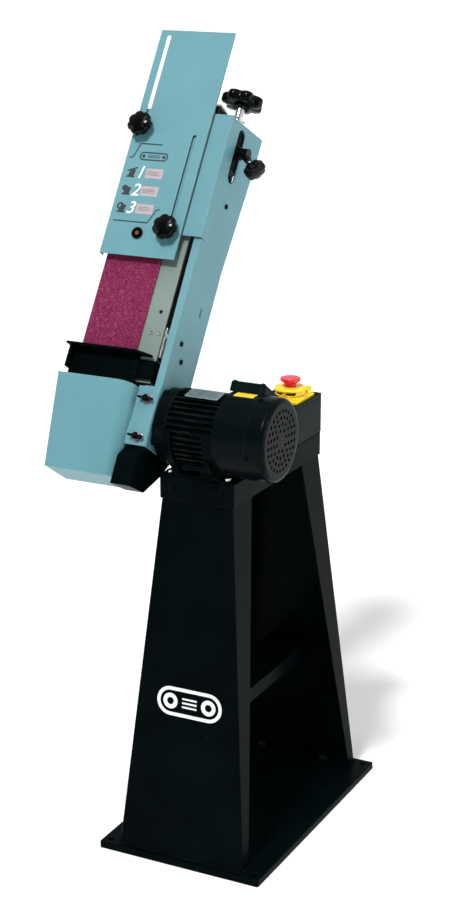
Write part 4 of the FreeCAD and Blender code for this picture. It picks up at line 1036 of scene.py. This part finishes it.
def curved_tag(name, span_x, radius, angle, half):
    """Thin tag that follows the barrel's round."""
    bm = bmesh.new()
    steps = 12
    swing = half / radius
    rings = []
    for k in range(steps + 1):
        a = angle - swing + 2 * swing * k / steps
        normal = UP_HEAD * math.cos(a) + OUT_HEAD * math.sin(a)
        ring = []
        for x, r in ((span_x[0], radius - 0.0002), (span_x[1], radius - 0.0002), (span_x[1], radius + 0.0002),
                     (span_x[0], radius + 0.0002)):
            ring.append(bm.verts.new(PIVOT + ACROSS * x + normal * r))
        rings.append(ring)
    for first, second in zip(rings, rings[1:]):
        for k in range(4):
            j = (k + 1) % 4
            bm.faces.new((first[k], first[j], second[j], second[k]))
    bm.faces.new(rings[0][::-1])
    bm.faces.new(rings[-1])
    return mesh_from(bm, name)


def etched_plate():
    """Bare brushed plate of the motor."""
    material, tree, shader = new_material("Etched plate")
    place = object_coordinates(tree)
    base = ramp(tree, noise(tree, place, 120.0, 4.0),
                [(0.3, (0.496, 0.504, 0.504)), (0.7, (0.62, 0.63, 0.63))])
    link(tree, base, shader.inputs["Base Color"])
    link(tree, span(tree, noise(tree, place, 60.0), 0.272, 0.425), shader.inputs["Roughness"])
    shader.inputs["Metallic"].default_value = 1.0
    bump(tree, shader, [(noise(tree, place, 900.0, 2.0), 0.00002)])
    return material


def build_plug_centre():
    """Dark red disc in the cover plug's recess."""
    matrix = frame_on(head_point(-0.176, 0.288, 0.070), OUT_HEAD)
    disc = prism("plug_centre", ring_outline((0, 0), 0.0035, 24), matrix, 0.0001, 0.0006)
    obj = add_object("plug_centre", disc, print_ink("Plug red", (0.20, 0.012, 0.02)))
    finish_piece(obj, "cover")


# ---------------------------------------------------------------- printed cover

SLANT = Matrix(((1, 0.22, 0, 0), (0, 1, 0, 0), (0, 0, 1, 0), (0, 0, 0, 1)))


ROWS = (0.392, 0.361, 0.330)
PRINT_LOW = 0.06803
PRINT_HIGH = 0.06816
LAP = 0.00001
SURFACE = HEAD @ Matrix.Rotation(math.radians(90), 4, "X")


def printed(outline, lap=0, surface=SURFACE):
    """Flat printed shape on the cover; a higher lap lies over a lower one."""
    return prism("print", outline, surface, PRINT_LOW, PRINT_HIGH + LAP * lap)


def printed_loop(outer, inner, lap=0, surface=SURFACE):
    return ribbon("print", outer, inner, surface, PRINT_LOW, PRINT_HIGH + LAP * lap)


def print_piece(name, meshes, ink):
    finish_piece(add_object(name, joined(name, meshes), ink), "cover")


def build_label(label):
    """Screen print on the sliding cover: two bent lines, a belt icon and three numbered rows."""
    dark = print_ink("Dark print", (0.012, 0.020, 0.024))
    white = print_ink("Cover white print", (0.80, 0.80, 0.80))
    pale = print_ink("Pale bar print", (0.42, 0.36, 0.38))
    lines = bent_lines(label.line_width) + belt_icon()
    for kind, s in enumerate(ROWS):
        lines += pictogram(-0.2165, s, kind)
    print_piece("cover_marks", lines, dark)
    digits = []
    for k, s in enumerate(ROWS):
        place = SURFACE @ Matrix.Translation((-0.1995, s, 0)) @ SLANT
        height = label.digit_height * 0.72
        digits.append(lettering(f"digit_{k + 1}", str(k + 1), height, place, PRINT_LOW, PRINT_HIGH))
    print_piece("cover_digits", digits, white)
    stripes = []
    for s in ROWS:
        for k in (-1, 0, 1):
            y = s + 0.0028 * k
            stripe = bar((-0.1885, y), (-0.1660 - 0.0015 * (k % 2), y), 0.0007)
            stripes.append(prism("print", stripe, SURFACE, PRINT_HIGH, PRINT_HIGH + 4 * LAP))
    print_piece("bar_stripes", stripes, dark)
    bars = [printed(rounded_outline(-0.1915, -0.1600, s - 0.0085, s + 0.0085, 0.0008)) for s in ROWS]
    print_piece("cover_bars", bars, pale)


def bent_lines(width):
    """Two lines that frame the rows, above and below."""
    upper = ((-0.175, 0.443), (-0.2145, 0.443), (-0.2225, 0.4185), (-0.2285, 0.4170))
    lower = ((-0.2265, 0.3070), (-0.1640, 0.3070), (-0.1535, 0.3300), (-0.1480, 0.3315))
    return [printed(bar(first, second, width), k)
            for path in (upper, lower) for k, (first, second) in enumerate(zip(path, path[1:]))]


def belt_icon():
    """Small belt loop round two rollers."""
    place = SURFACE @ Matrix.Translation((-0.1850, 0.4215, 0))
    meshes = [printed_loop(loop_outline(0.0185, 0.0075), loop_outline(0.0185, 0.0052), surface=place)]
    for x in (-0.0185, 0.0185):
        meshes.append(printed(ring_outline((x, 0), 0.0030, 20), surface=place))
    for k in (-1, 0, 1):
        meshes.append(printed(bar((-0.011, 0.0021 * k), (0.011, 0.0021 * k), 0.0009), surface=place))
    return meshes


def pictogram(x, s, kind):
    """Small plain silhouette: a body on a foot, with a part that differs from row to row."""
    foot = printed(rounded_outline(x - 0.0085, x + 0.0060, s - 0.0090, s - 0.0060, 0.0008))
    body = printed([(x - 0.0060, s - 0.0062), (x + 0.0040, s - 0.0062), (x + 0.0065, s + 0.0040),
                    (x - 0.0030, s + 0.0060)], 1)
    if kind == 0:
        part = printed(bar((x - 0.0090, s + 0.0020), (x + 0.0080, s + 0.0085), 0.0028), 2)
    elif kind == 1:
        part = printed(ring_outline((x - 0.0050, s + 0.0030), 0.0052), 2)
    else:
        middle = (x - 0.0045, s + 0.0025)
        part = printed_loop(ring_outline(middle, 0.0062), ring_outline(middle, 0.0030), 2)
    return [foot, body, part]


# ---------------------------------------------------------------- stage

def area_light(name, place, target, size, energy, colour=(1, 1, 1)):
    data = bpy.data.lights.new(name, "AREA")
    data.shape = "RECTANGLE"
    data.size, data.size_y = size
    data.energy = energy
    data.color = colour
    obj = bpy.data.objects.new(name, data)
    bpy.context.scene.collection.objects.link(obj)
    obj.location = place
    obj.rotation_euler = (Vector(target) - Vector(place)).to_track_quat("-Z", "Y").to_euler()
    return obj


def build_stage(settings):
    half = settings.floor_size / 2
    mesh = bpy.data.meshes.new("floor")
    corners = [(-half, -half, 0), (half, -half, 0), (half, half, 0), (-half, half, 0)]
    mesh.from_pydata(corners, [], [(0, 1, 2, 3)])
    floor = add_object("floor", mesh, floor_finish("Plain floor", tuple(settings.floor_colour)))
    world = bpy.data.worlds.new("Even light")
    world.use_nodes = True
    tree = world.node_tree
    background = tree.nodes["Background"]
    background.inputs["Color"].default_value = (1.0, 1.0, 1.0, 1.0)
    direction = tree.nodes.new("ShaderNodeTexCoord")
    parts = tree.nodes.new("ShaderNodeSeparateXYZ")
    tree.links.new(direction.outputs["Generated"], parts.inputs["Vector"])
    front = tree.nodes.new("ShaderNodeMapRange")
    front.interpolation_type = "SMOOTHSTEP"
    front.inputs["From Min"].default_value = -0.75
    front.inputs["From Max"].default_value = 0.10
    front.inputs["To Min"].default_value = settings.sky_strength * 0.18
    front.inputs["To Max"].default_value = settings.sky_strength
    tree.links.new(parts.outputs["Y"], front.inputs["Value"])
    rays = tree.nodes.new("ShaderNodeLightPath")
    seen = tree.nodes.new("ShaderNodeMix")
    seen.data_type = "FLOAT"
    seen.inputs["B"].default_value = 1.0
    tree.links.new(rays.outputs["Is Camera Ray"], seen.inputs["Factor"])
    tree.links.new(front.outputs["Result"], seen.inputs["A"])
    tree.links.new(seen.outputs["Result"], background.inputs["Strength"])
    bpy.context.scene.world = world
    sun_data = bpy.data.lights.new("Key", "SUN")
    sun_data.energy = settings.sun_strength
    sun_data.angle = math.radians(9)
    sun = bpy.data.objects.new("Key", sun_data)
    bpy.context.scene.collection.objects.link(sun)
    sun.rotation_euler = Vector((0.02, 1.0, -1.42)).to_track_quat("-Z", "Y").to_euler()
    area_light("Left box", (-2.2, -1.2, 1.4), (-0.1, 0.0, 0.8), (0.6, 1.6), 9)
    area_light("Right strip", (2.5, 0.1, 1.2), (0.0, 0.0, 0.8), (0.5, 1.6), 20)
    area_light("Top box", (0.1, -0.5, 2.8), (0.0, 0.0, 0.8), (1.0, 0.7), 5)
    camera_data = bpy.data.cameras.new("Camera")
    camera_data.lens = settings.lens
    camera_data.sensor_width = 36.0
    camera_data.sensor_fit = "AUTO"
    camera = bpy.data.objects.new("Camera", camera_data)
    bpy.context.scene.collection.objects.link(camera)
    camera.location = (1.323, -2.660, 1.557)
    camera.rotation_euler = (math.radians(72.87), 0.0, math.radians(26.88))
    bpy.context.scene.camera = camera
    bpy.context.scene.view_settings.view_transform = "Standard"


# ---------------------------------------------------------------- add-on

class SANDER_OT_finishes(bpy.types.Operator):
    """Make the finishes that every piece of the sander takes"""
    bl_idname = "sander.finishes"
    bl_label = "Make Finishes"

    def execute(self, context):
        FINISH.update(finishes(context.scene.sander_paint))
        return {"FINISHED"}


class SANDER_OT_stand(bpy.types.Operator):
    """Build the stand, its switch and its weld seams"""
    bl_idname = "sander.stand"
    bl_label = "Build Stand"

    def execute(self, context):
        build_stand()
        return {"FINISHED"}


class SANDER_OT_head(bpy.types.Operator):
    """Build the sanding head, motor and guard"""
    bl_idname = "sander.head"
    bl_label = "Build Head"

    def execute(self, context):
        build_head()
        return {"FINISHED"}


class SANDER_OT_knobs(bpy.types.Operator):
    """Shape the lobed knobs and the axle spring"""
    bl_idname = "sander.knobs"
    bl_label = "Build Knobs"

    def execute(self, context):
        build_knobs()
        return {"FINISHED"}


class SANDER_OT_label(bpy.types.Operator):
    """Print the marks on the sliding cover"""
    bl_idname = "sander.label"
    bl_label = "Print Cover"

    def execute(self, context):
        build_label(context.scene.sander_label)
        return {"FINISHED"}


class SANDER_OT_stage(bpy.types.Operator):
    """Lay the floor and set the lights and the camera"""
    bl_idname = "sander.stage"
    bl_label = "Set Stage"

    def execute(self, context):
        build_stage(context.scene.sander_stage)
        return {"FINISHED"}


class SANDER_PT_panel(bpy.types.Panel):
    """Sidebar panel with the sander's settings and build steps"""
    bl_idname = "SANDER_PT_panel"
    bl_label = "Belt Sander"
    bl_space_type = "VIEW_3D"
    bl_region_type = "UI"
    bl_category = "Belt Sander"

    def draw(self, context):
        layout = self.layout
        scene = context.scene
        for group in (scene.sander_paint, scene.sander_label, scene.sander_stage):
            box = layout.box()
            for name in group.__annotations__:
                box.prop(group, name)
        for operator in OPERATORS:
            layout.operator(operator.bl_idname)


OPERATORS = (SANDER_OT_finishes, SANDER_OT_stand, SANDER_OT_head, SANDER_OT_knobs, SANDER_OT_label,
             SANDER_OT_stage)
CLASSES = (SanderStage, SanderPaint, SanderLabel) + OPERATORS + (SANDER_PT_panel,)


def register():
    for cls in CLASSES:
        bpy.utils.register_class(cls)
    bpy.types.Scene.sander_paint = bpy.props.PointerProperty(type=SanderPaint)
    bpy.types.Scene.sander_label = bpy.props.PointerProperty(type=SanderLabel)
    bpy.types.Scene.sander_stage = bpy.props.PointerProperty(type=SanderStage)


def unregister():
    del bpy.types.Scene.sander_paint
    del bpy.types.Scene.sander_label
    del bpy.types.Scene.sander_stage
    for cls in reversed(CLASSES):
        bpy.utils.unregister_class(cls)


def main():
    register()
    bpy.ops.sander.finishes()
    bpy.ops.sander.stand()
    bpy.ops.sander.head()
    bpy.ops.sander.knobs()
    bpy.ops.sander.label()
    bpy.ops.sander.stage()


if __name__ == "__main__":
    main()
